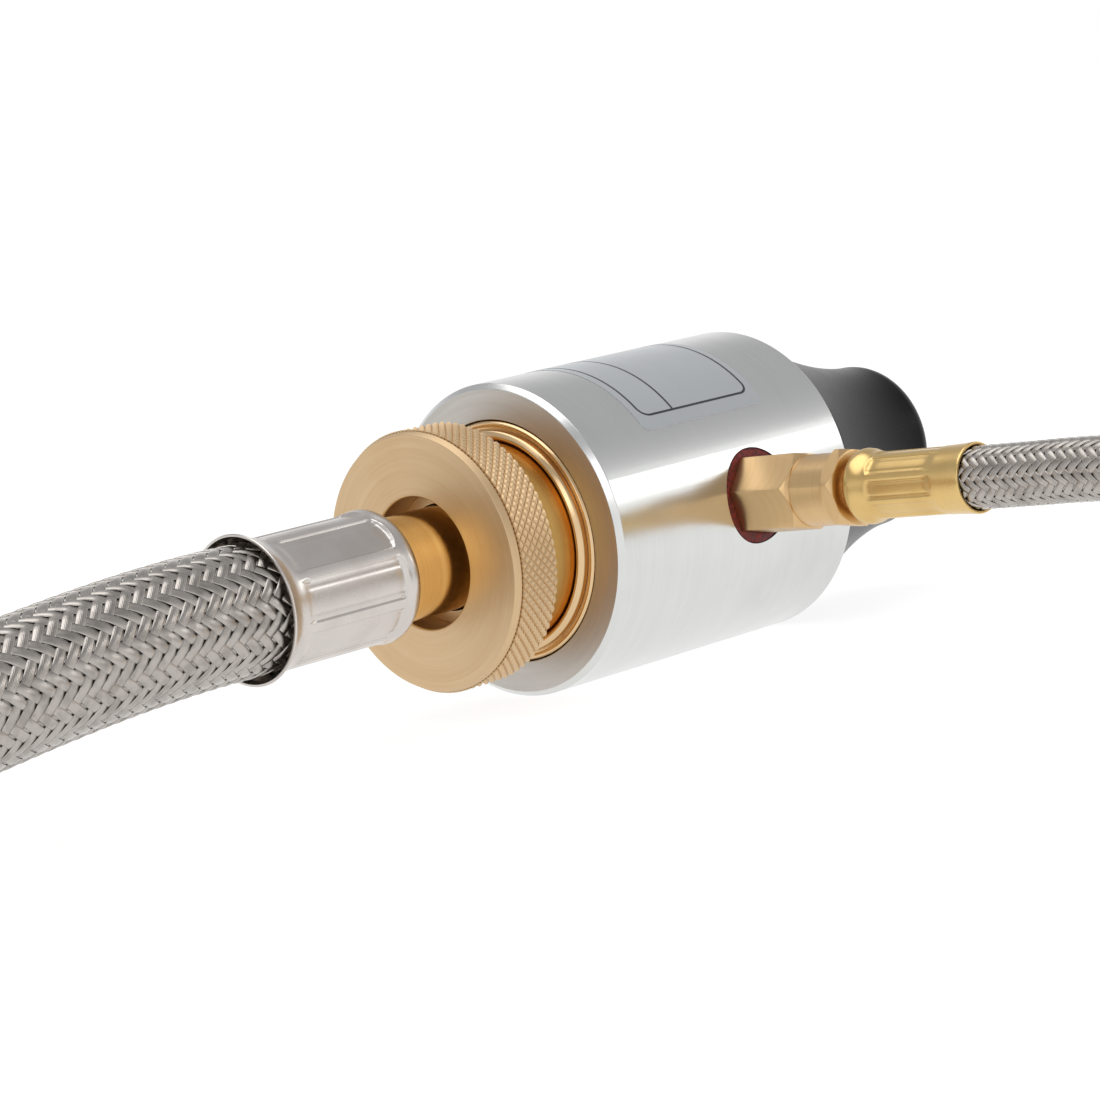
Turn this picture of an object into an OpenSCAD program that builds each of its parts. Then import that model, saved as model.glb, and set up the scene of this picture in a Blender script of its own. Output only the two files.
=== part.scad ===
// In-line propane regulator with its two braided hoses, built as it comes apart on a bench.
// The body lies on its side: its axis runs along Y, the outlet end faces -Y, the inlet branch
// points to +X, and the floor is z = 0. Lengths are in millimetres.

/* [Cover] */
// Outside diameter of the aluminium cover
cover_d = 60; // [58:0.5:66]
// Length of the cover from its front face to its rear edge
cover_len = 67; // [66:0.5:76]
// Wall of the cover
cover_wall = 1.8; // [1.6:0.1:2.4]
// Thickness of the cover's front face
cover_front_t = 4; // [3:0.5:6]
// Chamfer round the front edge
cover_chamfer = 1; // [0.4:0.1:1.6]
// Hole in the cover's side for the inlet branch
side_hole_d = 18.4; // [18:0.2:20]
// Width of the groove for the retaining ring
ring_t = 1.4; // [1:0.1:1.8]

/* [Outlet collar] */
// Outside diameter of the brass collar
collar_od = 46; // [44:0.5:47]
// Bore of the collar, which the nut's spigot screws into
collar_id = 39; // [38:0.25:40]
// How far the collar stands out of the cover's face
collar_proud = 1.7; // [0.6:0.1:3]
// How far the collar reaches behind the cover's face
collar_depth = 14; // [11:0.5:15]

/* [Coupling nut] */
// Diameter over the knurl
knurl_d = 49.5; // [46:0.5:54]
// Width of the knurled band
knurl_w = 9; // [7:0.5:11]
// Depth of the knurl
knurl_depth = 0.45; // [0.2:0.05:0.6]
// Distance from the cover's face to the knurled band
knurl_gap = 11.5; // [10.5:0.5:14]
// Diameter of the nut's flat front face
nut_face_d = 47.9; // [42:0.1:48]
// Length of the smooth bevel in front of the knurl
nut_bevel = 1.5; // [0.6:0.1:2.5]
// Mouth of the nut, wider than the tube in it
nut_bore_d = 24.8; // [23:0.2:27]
// Thickness of the nut's inner web
nut_web_t = 4.2; // [3:0.2:5.5]
// How far the spigot reaches behind the cover's face
spigot_reach = 9; // [8:0.5:10]
// Diamonds round the knurl
knurl_count = 84; // [60:2:96]

/* [Outlet hose] */
// Outside diameter of the braided outlet hose
outlet_hose_d = 24.2; // [23.2:0.2:24.6]
// Diameter of the brass tube that carries the nut
outlet_tube_d = 19.7; // [19:0.1:20.2]
// Bore of the outlet tube
outlet_bore_d = 12; // [10:0.5:13]
// Clear length of tube between the nut's face and the ferrule
tube_show = 11; // [10:0.5:16]
// Length of the outlet ferrule
outlet_ferrule_len = 33; // [30:0.5:38]
// Diameter of the outlet ferrule's body
outlet_ferrule_d = 24.8; // [24.6:0.1:25.6]
// Diameter of the outlet ferrule's flared skirt
outlet_skirt_d = 27.6; // [27:0.2:29]
// Diameter of the outlet coil at the middle of the hose
outlet_coil_d = 242; // [240:2:260]
// Across flats of the swivel nut on the outlet hose's end
swivel_af = 27; // [26:0.5:30]
// Bore of the swivel nut's thread
swivel_thread_d = 20.4; // [20.2:0.1:21]

/* [Inlet branch] */
// Distance of the inlet branch behind the cover's face
inlet_y = 39.5; // [38.5:0.25:40.5]
// Across flats of the inlet adapter
inlet_af = 14; // [13:0.25:15]
// Distance from the axis to the shoulder of the long hexagon
hex_start = 28.2; // [27.4:0.2:30]
// Length of the long hexagon
hex_len = 13.8; // [11:0.2:18]
// Length of the round neck
neck_len = 8.4; // [5:0.2:12]
// Length of the short hexagon
hex_collar_len = 3.9; // [2.5:0.1:6]
// Outside diameter of the braided inlet hose
inlet_hose_d = 11.7; // [11.3:0.1:11.9]
// Bore of the adapter
inlet_bore_d = 6.4; // [5.4:0.2:7]
// Length of the inlet ferrule
inlet_ferrule_len = 27.8; // [25:0.2:32]
// Diameter of the inlet ferrule's domed nose
inlet_dome_d = 14.2; // [13.6:0.1:15.4]
// Diameter of the inlet ferrule's crimped body
inlet_ferrule_d = 12.6; // [12.4:0.1:13]
// Diameter of the inlet ferrule's skirt
inlet_skirt_d = 13.1; // [12.9:0.1:14]
// Diameter of the inlet coil at the middle of the hose
inlet_coil_d = 118; // [116:1:130]
// Across flats of the cylinder nut on the inlet hose's end
cylinder_af = 23.8; // [23.4:0.2:25]
// Outside diameter of the cylinder nut's thread
cylinder_thread_d = 22.4; // [20:0.1:22.6]

/* [Valve] */
// Bore of the inlet chamber
chamber_d = 12; // [11:0.2:12.6]
// Bore of the valve seat
orifice_d = 4.4; // [3.6:0.1:5]
// Thickness of the rubber diaphragm
diaphragm_t = 1; // [0.6:0.1:1.6]
// Opening travel of the valve
valve_travel = 1.2; // [0.4:0.1:1.4]
// Outside diameter of the main spring
spring_d = 22; // [19:0.5:23]
// Wire of the main spring
spring_wire = 2.4; // [1.6:0.1:3]
// Coils of the main spring
spring_turns = 5; // [3:1:7]

/* [Bonnet and boot] */
// Outside diameter of the bonnet's neck
bonnet_neck_d = 29; // [28.4:0.2:30]
// Diameter of the adjusting screw
screw_d = 16; // [12:0.5:18]
// Travel of the adjusting screw
screw_travel = 3; // [1:0.5:4]
// How far the rubber boot stands out behind the cover
boot_out = 43; // [40:0.5:50]
// Wall of the boot
boot_wall = 1.8; // [1.2:0.1:2]
// Diameter of the breather hole in the boot's end
breather_d = 5; // [3:0.5:8]

/* [Hidden] */
$fn = 64;

eps = 0.01;        // overshoot of a cut
gap = 0.3;         // air between moving pieces that face each other
slip = 0.2;        // radial fit of pieces that stay put
run_fit = 0.08;    // radial fit of a screw or slide that runs
seat = 0.1;        // joint between two faces that are clamped together

// Colours
aluminium = "#c9cbcc";
brass = "#cf9c57";
deep_brass = "#c58a32";
steel = "#bcb8b4";
zinc = "#9fa3a6";
rubber = "#1d1d1e";
red_paste = "#6d1f1b";

// Stations along the body's axis, from the cover's front face; rearwards is positive
cover_r = cover_d / 2;
cover_in_r = cover_r - cover_wall;
body_r = cover_in_r - slip;
knurl_back = -knurl_gap;
knurl_front = knurl_back - knurl_w;
nut_face = knurl_front - nut_bevel;
ferrule_nose = nut_face - tube_show;
ferrule_mouth = ferrule_nose - outlet_ferrule_len;
washer_t = 1;
washer_front = knurl_back + gap;
washer_back = washer_front + washer_t;
flange_front = washer_back + gap;
flange_back = flange_front + 5;
boss_face = flange_back + seat;
nose_end = 12;
chamber_len = 20.5;
seat_front = inlet_y + 3;
seat_t = 4.5;
seat_back = seat_front + seat_t;
chamber_front = seat_front - chamber_len;
sense_floor = seat_back + 1;
sense_depth = 3.5;
body_back = sense_floor + sense_depth;
ring_setback = 5.2;         // from the cover's rear edge to the retaining ring
ring_front = cover_len - ring_setback;
diaphragm_back = body_back + diaphragm_t;
flange_end = ring_front - seat;
boot_front = ring_front + ring_t + 0.6;
boot_end = cover_len + boot_out;
boot_room = 7;              // from the bonnet's end to the boot's
button_depth = 19;          // how deep the spring button sits in the bonnet
bonnet_end = boot_end - boot_room;
button_front = bonnet_end - button_depth;
button_t = 3;
screw_front = button_front + button_t + gap;
screw_len = 11;

axis_h = cover_r;

// Radii round the body's axis
collar_r = collar_od / 2;
collar_in_r = collar_id / 2;
spigot_r = collar_in_r - slip;
nut_hole_r = outlet_tube_d / 2 + gap;
boss_bore_r = 11.05;
nut_cavity_r = spigot_r - 3.3;
boss_r = nut_cavity_r - gap;
oring_r = 0.95;
oring_pos = [0.5, 6.5];
neck_r = bonnet_neck_d / 2;
neck_wall = 2.3;
plate_r = 14.6;
diaphragm_in_r = plate_r + gap;
diaphragm_r = body_r - 0.8;
fold_r = 2.5;
sense_r = 21;
fold_mid = (plate_r + sense_r) / 2 + 0.3;
groove_depth = 0.9;

// Stations along the inlet branch, from the body's axis
hex_end = hex_start + hex_len;
neck_end = hex_end + neck_len;
collar_end = neck_end + hex_collar_len;
inlet_nose = collar_end + 0.9;
inlet_mouth = inlet_nose + inlet_ferrule_len;
shank_r = 6.4;
shank_start = 12;
hex_corner = 2 / sqrt(3);

// The origin lies on the floor, under the middle of the body with its outlet tube and adapter
outlet_stem_end = ferrule_mouth + 4;
inlet_stem_end = inlet_mouth - 3;
middle = [(inlet_stem_end - cover_r) / 2, (outlet_stem_end + boot_end) / 2];

// The free stretch of the outlet hose: y from the ferrule's mouth, and height of its middle
outlet_fall = [[0, 30], [-12, 30], [-26, 29.5], [-40, 28.5], [-56, 26.9], [-74, 24.7],
    [-94, 22.1], [-115, 19.4], [-137, 16.9], [-160, 14.8], [-184, 13.3], [-208, 12.5],
    [-232, 12.2], [-260, 12.1], [-288, 12.1], [-316, 12.1]];
// The free stretch of the inlet hose: x from the ferrule's mouth, and height of its middle
inlet_fall = [[0, 30], [12, 30], [25, 30], [32.2, 29.5], [39.3, 28], [46.1, 25.5],
    [52.4, 22.1], [58.3, 17.93], [64.2, 13.8], [70.5, 10.4], [77.3, 7.9], [84.4, 6.4],
    [91.6, 5.85], [96.8, 5.85], [102, 5.85]];
outlet_climb = [150, 320];  // degrees of the turn over which the outlet hose climbs
outlet_turn = 405;          // degrees that the outlet coil winds
inlet_climb = [182, 342];
inlet_turn = 540;
loop_rings = 24;
loop_sides = 6;
pitch = 1.09;               // rise from a loop to the one that lies on it, in hose diameters
tie_t = 0.8;                // the strap that holds a coil's loops together
tie_gap = 0.2;
tie_w = 12;
tie_at = [30, 45];          // degrees into the coil, from one ring of the loop to the next

function route_out(p) = [-middle[0], ferrule_mouth + p[0] - middle[1], p[1]];
function route_in(p) = [inlet_mouth + p[0] - middle[0], inlet_y - middle[1], p[1]];
outlet_route = [for (p = outlet_fall) route_out(p)];
inlet_route = [for (p = inlet_fall) route_in(p)];

// Smooth step from 0 to 1 between a and b
function rise(x, a, b) = let (t = max(0, min(1, (x - a) / (b - a)))) t * t * (3 - 2 * t);

// Middle of a loop that starts at point p heading along h and winds to the left (s = 1)
function loop_at(p, h, s, r, d, climb, a) =
    let (side = [-h[1], h[0], 0] * s)
    p + side * r + r * (h * sin(a) - side * cos(a))
    + [0, 0, pitch * d * rise(a, climb[0], climb[1]) + (tie_t + tie_gap) * rise(a, 0, tie_at[0])];

// A coil's points: straight for one diameter, then the loop, then straight again
function coil_points(p, h, s, r, d, climb, turn) =
    let (n = round(loop_rings * turn / 360),
        q = p + h * d,
        loop = [for (i = [0:n]) loop_at(q, h, s, r, d, climb, i * turn / n)],
        out = heading(h, s, turn))
    concat([p], loop, [loop[n] + out * d]);
function heading(h, s, turn) = [h[0] * cos(turn) - s * h[1] * sin(turn),
    s * h[0] * sin(turn) + h[1] * cos(turn), 0];

// A point of the outlet or inlet coil's start, the coil and where it ends
outlet_h = [0, -1, 0];
inlet_h = [1, 0, 0];
outlet_start = outlet_route[len(outlet_route) - 1];
inlet_start = inlet_route[len(inlet_route) - 1];
outlet_loop = coil_points(outlet_start, outlet_h, 1, outlet_coil_d / 2, outlet_hose_d,
    outlet_climb, outlet_turn);
inlet_loop = coil_points(inlet_start, inlet_h, 1, inlet_coil_d / 2, inlet_hose_d,
    inlet_climb, inlet_turn);
outlet_end = outlet_loop[len(outlet_loop) - 1];
inlet_end = inlet_loop[len(inlet_loop) - 1];
outlet_aim = 270 + outlet_turn;
inlet_aim = inlet_turn;

// Least distance between stretches of one path that are over `apart` points from each other
function least(path, apart) = min([for (i = [0:len(path) - 1 - apart])
    min([for (j = [i + apart:len(path) - 1]) norm(path[i] - path[j])])]);
function finer(path, n) = [for (i = [0:len(path) - 2]) for (k = [0:n - 1])
    path[i] + (path[i + 1] - path[i]) * k / n];
echo(outlet_coil_gap = least(finer(concat(outlet_route, outlet_loop), 4), 12) - outlet_hose_d);
echo(inlet_coil_gap = least(finer(concat(inlet_route, inlet_loop), 4), 20) - inlet_hose_d);

// ---- building blocks ----

module on_axis() translate([-middle[0], -middle[1], axis_h]) rotate([-90, 0, 0]) children();
module on_branch() translate([-middle[0], inlet_y - middle[1], axis_h]) rotate([0, 90, 0])
    children();
module at_end(p, aim) translate(p) rotate([0, 0, aim]) rotate([0, 90, 0]) children();

module turned(outline) rotate_extrude() polygon(outline);
module pipe(r_out, r_in, z0, z1) turned([[r_in, z0], [r_out, z0], [r_out, z1], [r_in, z1]]);
module bore(r, z0, z1) translate([0, 0, z0]) cylinder(r = r, h = z1 - z0);
module around(n, first = 0) for (i = [0:n - 1]) rotate([0, 0, first + i * 360 / n]) children();

// Groove 2.6 wide in a turned outline of radius r, down to radius r_in
function groove(r, r_in, z) = [[r, z - 1.3], [r_in, z - 1.3], [r_in, z + 1.3], [r, z + 1.3]];

function arc(c, r, a0, a1, n = 6) = [for (i = [0:n]) let (a = a0 + (a1 - a0) * i / n)
    c + r * [cos(a), sin(a)]];

// Ring of n points round a path point, square to the path there
function ring_at(path, i, r, n, turn = 0) =
    let (a = path[max(0, i - 1)], b = path[min(len(path) - 1, i + 1)],
        t = (b - a) / norm(b - a),
        u0 = cross(t, [0, 0, 1]), u = u0 / norm(u0), v = cross(u, t))
    [for (k = [0:n - 1]) let (w = turn + 360 * k / n) path[i] + r * (cos(w) * u + sin(w) * v)];

// Tube of n sides along a path, closed at both ends, as triangles
module swept(path, r, n) {
    m = len(path);
    turn = n == 6 ? 90 : 0;
    points = [for (i = [0:m - 1]) each ring_at(path, i, r, n, turn)];
    sides = [for (i = [0:m - 2]) for (k = [0:n - 1])
        let (a = i * n + k, b = i * n + (k + 1) % n) each [[a, b, b + n], [a, b + n, a + n]]];
    first = [for (k = [1:n - 2]) [0, k + 1, k]];
    last = [for (k = [1:n - 2]) [(m - 1) * n, (m - 1) * n + k, (m - 1) * n + k + 1]];
    polyhedron(points, concat(sides, first, last), convexity = 8);
}

// Compression spring from z = 0 to z = len, its last turns closed against the ends
module spring(d, wire, len, turns, steps = 12) {
    r = (d - wire) / 2;
    n = turns * steps;
    points = [for (i = [0:n]) let (f = i / n, a = 360 * turns * f)
        [r * cos(a), r * sin(a), wire / 2 + (len - wire) * rise(f, 0, 1)]];
    swept_any(points, wire / 2, 6);
}

// The same tube for a path that climbs: the ring's first axis points away from the Z axis
module swept_any(path, r, n) {
    m = len(path);
    function out(i) = let (q = [path[i][0], path[i][1], 0]) q / norm(q);
    function along(i) = let (d = path[min(m - 1, i + 1)] - path[max(0, i - 1)]) d / norm(d);
    points = [for (i = [0:m - 1]) let (v = cross(along(i), out(i)))
        for (k = [0:n - 1]) path[i] + r * (cos(360 * k / n) * out(i) + sin(360 * k / n) * v)];
    sides = [for (i = [0:m - 2]) for (k = [0:n - 1])
        let (a = i * n + k, b = i * n + (k + 1) % n) each [[a, b + n, b], [a, a + n, b + n]]];
    first = [for (k = [1:n - 2]) [0, k, k + 1]];
    last = [for (k = [1:n - 2]) [(m - 1) * n, (m - 1) * n + k + 1, (m - 1) * n + k]];
    polyhedron(points, concat(sides, first, last), convexity = 8);
}

// Hexagon bar with its corners turned off at each end by c0 and c1
module hex_bar(af, z0, z1, c0, c1) {
    corner = af * hex_corner / 2;
    flat_r = af / 2 - 0.2;
    intersection() {
        translate([0, 0, z0]) cylinder(r = corner, h = z1 - z0, $fn = 6);
        turned([[0, z0], [c0 > 0 ? flat_r : corner + 1, z0], [corner + 1, z0 + c0],
            [corner + 1, z1 - c1], [c1 > 0 ? flat_r : corner + 1, z1], [0, z1]]);
    }
}

// Crimped ferrule, nose at z = 0 and mouth at z = len: a domed nose with a hole for the fitting,
// pressed flats round the body with sharp ends, and a skirt that flares off the hose
module ferrule(len, hole_r, dome_r, body_r, skirt_r, in_r, flats, flat_in, z0, z1) {
    web = 2.6;
    skirt_wall = 0.55;
    skirt_len = len - z1;
    difference() {
        turned(concat([[hole_r, 0], [dome_r - 2.2, 0]], arc([dome_r - 2.2, 2.2], 2.2, -90, 0),
            [[dome_r, z0 * 0.62], [body_r, z0 * 0.86], [body_r, z1 + skirt_len * 0.3],
            [skirt_r - 0.35, len - skirt_len * 0.35], [skirt_r, len - 0.5], [skirt_r - 0.15, len],
            [skirt_r - skirt_wall, len], [skirt_r - skirt_wall - 0.15, len - skirt_len * 0.4],
            [in_r, z1 + skirt_len * 0.2], [in_r, web], [hole_r, web]]));
        around(flats) translate([body_r - flat_in, -body_r, z0]) cube([body_r, 2 * body_r, z1 - z0]);
    }
}
module outlet_ferrule_shape() ferrule(outlet_ferrule_len, outlet_tube_d / 2 + 0.05,
    outlet_ferrule_d / 2 + 0.1, outlet_ferrule_d / 2, outlet_skirt_d / 2, outlet_squeeze_r + 0.05,
    8, 0.5, 4.6, outlet_ferrule_len - 5);
module inlet_ferrule_shape() ferrule(inlet_ferrule_len, inlet_groove_r + 0.05,
    inlet_dome_d / 2, inlet_ferrule_d / 2, inlet_skirt_d / 2, inlet_squeeze_r + 0.05,
    8, 0.3, 6.2, inlet_ferrule_len - 7.5);
outlet_squeeze_r = outlet_ferrule_d / 2 - 1.3;
outlet_stem_r = outlet_bore_d / 2 + 1.6;
inlet_squeeze_r = inlet_ferrule_d / 2 - 1.2;
inlet_groove_r = 4.6;
inlet_stem_r = 2.9;
inlet_stem_bore_r = 1.8;

// The hose where a ferrule grips it: squeezed to r_in under the flats and full size at the mouth
module gripped(len, stem_r, squeeze_r, hose_r, z0, flare) turned([[stem_r + 0.05, z0],
    [squeeze_r, z0], [squeeze_r, len - flare], [hose_r, len - 1.5], [hose_r, len],
    [stem_r + 0.05, len]]);

// Stem with n barbs from z0 to z1, pointing to z1
function barbs(r, z0, z1, n) = let (p = (z1 - z0) / n)
    [for (i = [0:n - 1]) each [[r, z0 + i * p], [r + 0.35, z0 + i * p + 0.2],
        [r, z0 + (i + 1) * p - 0.1]]];

// Strap round two loops of a coil that starts at p, heading along h
module strap(p, h, r, d, climb, aim) {
    ends = [for (a = tie_at) loop_at(p + h * d, h, 1, r, d, climb, a)];
    at_end((ends[0] + ends[1]) / 2, aim + (tie_at[0] + tie_at[1]) / 2)
        translate([0, 0, -tie_w / 2]) band(d / 2, pitch * d);
}
module band(r, lift) difference() {
    band_outline(r + tie_gap + tie_t, lift, tie_w);
    translate([0, 0, -1]) band_outline(r + tie_gap, lift, tie_w + 2);
}
module band_outline(r, lift, w) {
    cylinder(r = r, h = w);
    translate([-lift, 0, 0]) cylinder(r = r, h = w);
    translate([-lift, -r, 0]) cube([lift, 2 * r, w]);
}

// ---- regulator ----

module cover() color(aluminium) on_axis() difference() {
    mouth_r = collar_r + slip;
    groove_r = cover_in_r + groove_depth;
    rear_chamfer = 0.6;
    turned([[mouth_r, 0], [cover_r - cover_chamfer, 0], [cover_r, cover_chamfer],
        [cover_r, cover_len - rear_chamfer], [cover_r - rear_chamfer, cover_len],
        [cover_in_r, cover_len], [cover_in_r, ring_front + ring_t + seat],
        [groove_r, ring_front + ring_t + seat], [groove_r, ring_front - seat],
        [cover_in_r, ring_front - seat], [cover_in_r, cover_front_t], [mouth_r, cover_front_t]]);
    translate([0, 0, inlet_y]) rotate([0, 90, 0]) bore(side_hole_d / 2, cover_in_r / 2, cover_r + 1);
}

module outlet_collar() color(brass) on_axis() {
    front = -collar_proud;
    turned([[collar_in_r, collar_depth], [collar_r, collar_depth], [collar_r, 0.2],
        [collar_r - 0.4, -0.35], [collar_r - 0.9, -0.35], [collar_r - 1.1, 0.15],
        [collar_r - 1.5, 0.15], [collar_r - 1.7, front * 0.6], [collar_r - 2.5, front],
        [collar_in_r + 0.7, front], [collar_in_r, front + 0.6]]);
}

passage_r = 1.75;
passage_at = chamber_d / 2 + 3;
module valve_body() color(zinc) on_axis() difference() {
    front = cover_front_t + seat;
    recess_r = collar_r + seat;
    turned([[boss_bore_r, boss_face], [boss_r, boss_face], [boss_r, collar_depth + seat],
        [recess_r, collar_depth + seat], [recess_r, front], [body_r, front], [body_r, body_back],
        [sense_r, body_back], [sense_r, sense_floor], [4.5, sense_floor], [4.5, seat_front],
        [chamber_d / 2, seat_front], [chamber_d / 2, chamber_front], [boss_bore_r, chamber_front]]);
    around(4, 45) translate([passage_at, 0, chamber_front - 1])
        cylinder(r = passage_r, h = sense_floor - chamber_front + 2);
    translate([0, 0, inlet_y]) rotate([0, 90, 0]) {
        bore(2.8, 0, shank_start + 1);
        bore(shank_r + 0.05, shank_start, body_r);
        bore(side_hole_d / 2 - 0.1, sealant_start - 0.05, body_r + 1);
    }
}
sealant_start = hex_start - 2.7;

module valve_seat() color(brass) on_axis() turned([[orifice_d / 2, seat_back], [4.45, seat_back],
    [4.45, seat_front + 0.05], [orifice_d / 2 + 1.1, seat_front + 0.05],
    [orifice_d / 2 + 0.6, seat_front - 0.5], [orifice_d / 2, seat_front - 0.5]]);

poppet_face = seat_front - 0.5 - gap;
seal_t = 1;
stem_r = 1.2;
poppet_back = poppet_face - seal_t;
spring_seat = poppet_back - 4;
plug_back = chamber_front + 5;
module valve_poppet() color(brass) on_axis() turned([[0, spring_seat - 5], [2, spring_seat - 5],
    [2.4, spring_seat - 4.5], [2.4, spring_seat], [chamber_d / 2 - 1.2, spring_seat],
    [chamber_d / 2 - 1.2, poppet_back - 0.6], [chamber_d / 2 - 1.8, poppet_back],
    [stem_r, poppet_back], [stem_r, plate_front - gap], [0, plate_front - gap]]);
module poppet_seal() color(rubber) on_axis()
    pipe(orifice_d / 2 + 1.6, stem_r + 0.02, poppet_back, poppet_face);
module poppet_spring() color(steel) on_axis()
    translate([0, 0, plug_back + valve_travel + gap])
        spring(chamber_d - 3.4, 0.8, spring_seat - plug_back - valve_travel - gap, 4);
module valve_plug() color(brass) on_axis() difference() {
    bore(chamber_d / 2 - 0.05, chamber_front + 1, plug_back);
    translate([0, 0, chamber_front + 1 - eps]) cylinder(r = 2.9, h = 2.5, $fn = 6);
}

module diaphragm() color(rubber) on_axis() translate([0, 0, body_back]) rotate_extrude() {
    difference() {
        translate([diaphragm_in_r, 0]) square([diaphragm_r - diaphragm_in_r, diaphragm_t]);
        translate([fold_mid - fold_r, -eps]) square([2 * fold_r, diaphragm_t + 2 * eps]);
    }
    intersection() {
        translate([fold_mid, 0]) difference() {
            circle(r = fold_r + diaphragm_t);
            circle(r = fold_r);
        }
        translate([diaphragm_in_r, 0]) square([2 * fold_r + 4, 2 * fold_r]);
    }
}
plate_front = body_back - 1.6;
plate_back = diaphragm_back + 1;
module diaphragm_plate() color(steel) on_axis() turned([[0, plate_front], [5, plate_front],
    [5.6, plate_front + 0.8], [plate_r - 0.5, plate_front + 0.8], [plate_r, plate_front + 1.3],
    [plate_r, plate_back - 0.5], [plate_r - 0.5, plate_back], [spring_d / 2 + 1.5, plate_back],
    [spring_d / 2 + 1.5, plate_back + 0.8], [spring_d / 2 + 0.4, plate_back + 0.8],
    [spring_d / 2 + 0.4, plate_back], [0, plate_back]]);
module main_spring() color(steel) on_axis() translate([0, 0, plate_back + 0.05])
    spring(spring_d, spring_wire, button_front - plate_back - 0.05 - gap, spring_turns, 16);

neck_bore_r = neck_r - neck_wall;
module spring_button() color(brass) on_axis() turned([[0, button_front], [spring_d / 2 - 3.4, button_front],
    [spring_d / 2 - 3, button_front + 0.01], [neck_bore_r - gap, button_front + 0.01],
    [neck_bore_r - gap, button_front + button_t - 0.5],
    [neck_bore_r - gap - 0.5, button_front + button_t], [0, button_front + button_t]]);
module adjusting_screw() color(brass) on_axis() difference() {
    r = screw_d / 2 - run_fit;
    turned([[0, screw_front], [r - 1, screw_front], [r, screw_front + 1],
        [r, screw_front + screw_len - 0.7], [r - 0.7, screw_front + screw_len],
        [0, screw_front + screw_len]]);
    translate([0, 0, screw_front + screw_len - 5]) cylinder(r = screw_d / 4, h = 5 + eps, $fn = 6);
}
module bonnet() color(aluminium) on_axis() difference() {
    cavity = diaphragm_back + fold_r + diaphragm_t + 1;
    thread_start = button_front + button_t + screw_travel + 1;
    turned([[sense_r + 1, diaphragm_back], [body_r, diaphragm_back], [body_r, flange_end],
        [neck_r + 2.5, flange_end], [neck_r, flange_end + 2.5], [neck_r, bonnet_end - 1],
        [neck_r - 1, bonnet_end], [screw_d / 2 + 0.6, bonnet_end], [screw_d / 2, bonnet_end - 0.6],
        [screw_d / 2, thread_start], [neck_bore_r, thread_start], [neck_bore_r, cavity],
        [sense_r + 1, cavity]]);
    translate([0, 0, flange_end + 6]) rotate([90, 0, 0]) bore(1.2, neck_bore_r - 1, neck_r + 1);
}
module retaining_ring() color(steel) on_axis() translate([0, 0, ring_front]) rotate([0, 0, 110])
    rotate_extrude(angle = 320) translate([cover_in_r - 2, 0]) square([2 + groove_depth - 0.2, ring_t]);

boot_root_r = cover_in_r - gap;
boot_flare_r = cover_r - 1.4;
boot_tip_r = neck_r + 0.5 + boot_wall;
tip_round = 4.2;
function boot_r(z) = let (t = (z - cover_len) / (boot_end - tip_round - cover_len))
    min(boot_root_r, boot_tip_r + (boot_flare_r - boot_tip_r) * pow(max(0, 1 - t), 1.65));
module vent_boot() color(rubber) on_axis() {
    z1 = boot_end - tip_round;
    steps = [for (i = [0:10]) cover_len + (z1 - cover_len) * i / 10];
    turned(concat([[boot_root_r, boot_front]], [for (z = steps) [boot_r(z), z]],
        arc([boot_tip_r - tip_round, z1], tip_round, 0, 90),
        [[breather_d / 2, boot_end], [breather_d / 2, boot_end - boot_wall],
        [boot_tip_r - tip_round, boot_end - boot_wall]],
        arc([boot_tip_r - tip_round, z1], tip_round - boot_wall, 90, 0),
        [for (i = [10:-1:0]) [boot_r(steps[i]) - boot_wall, steps[i]]],
        [[boot_root_r - boot_wall, boot_front]]));
}

// ---- outlet ----

// Diamond knurl as one closed ring. Grooves of two hands cross at staggered points, at the root
// radius; each diamond between four crossings rises to a point at the crest radius. Row 0 and the
// last row are cut through the middle of their diamonds.
module knurl_ring(crest_r, root_r, in_r, z0, z1, count, rows) {
    step = 360 / count;
    last = 2 * rows;
    function at(r, a, k) = [r * cos(a * step), r * sin(a * step), z0 + (z1 - z0) * k / last];
    points = concat(
        [for (k = [0:last]) for (i = [0:count - 1]) at(root_r, i + (k % 2) / 2, k)],
        [for (k = [0:last]) for (i = [0:count - 1]) at(crest_r, i + 0.5 + (k % 2) / 2, k)],
        [for (k = [0, last]) for (i = [0:2 * count - 1]) at(in_r, i / 2, k)]);
    function root(k, i) = k * count + (i + count) % count;
    function crest(k, i) = (last + 1) * count + root(k, i);
    function inner(end, i) = 2 * (last + 1) * count + end * 2 * count + i % (2 * count);
    function beside(k, i) = i + k % 2;
    function rim(k, i) = i % 2 == 0 ? root(k, i / 2) : crest(k, (i - 1) / 2);
    above = [for (k = [0:last - 1]) for (i = [0:count - 1])
        each [[root(k, i), root(k + 1, beside(k, i)), crest(k, i)],
            [root(k + 1, beside(k, i)), root(k, i + 1), crest(k, i)]]];
    below = [for (k = [1:last]) for (i = [0:count - 1])
        each [[root(k - 1, beside(k, i)), root(k, i), crest(k, i)],
            [root(k, i + 1), root(k - 1, beside(k, i)), crest(k, i)]]];
    ends = [for (i = [0:2 * count - 1])
        each [[rim(0, i), rim(0, i + 1), inner(0, i)], [inner(0, i), rim(0, i + 1), inner(0, i + 1)],
            [rim(last, i + 1), rim(last, i), inner(1, i)],
            [rim(last, i + 1), inner(1, i), inner(1, i + 1)],
            [inner(0, i), inner(0, i + 1), inner(1, i)],
            [inner(1, i), inner(0, i + 1), inner(1, i + 1)]]];
    polyhedron(points, concat(above, below, ends), convexity = 6);
}

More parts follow.
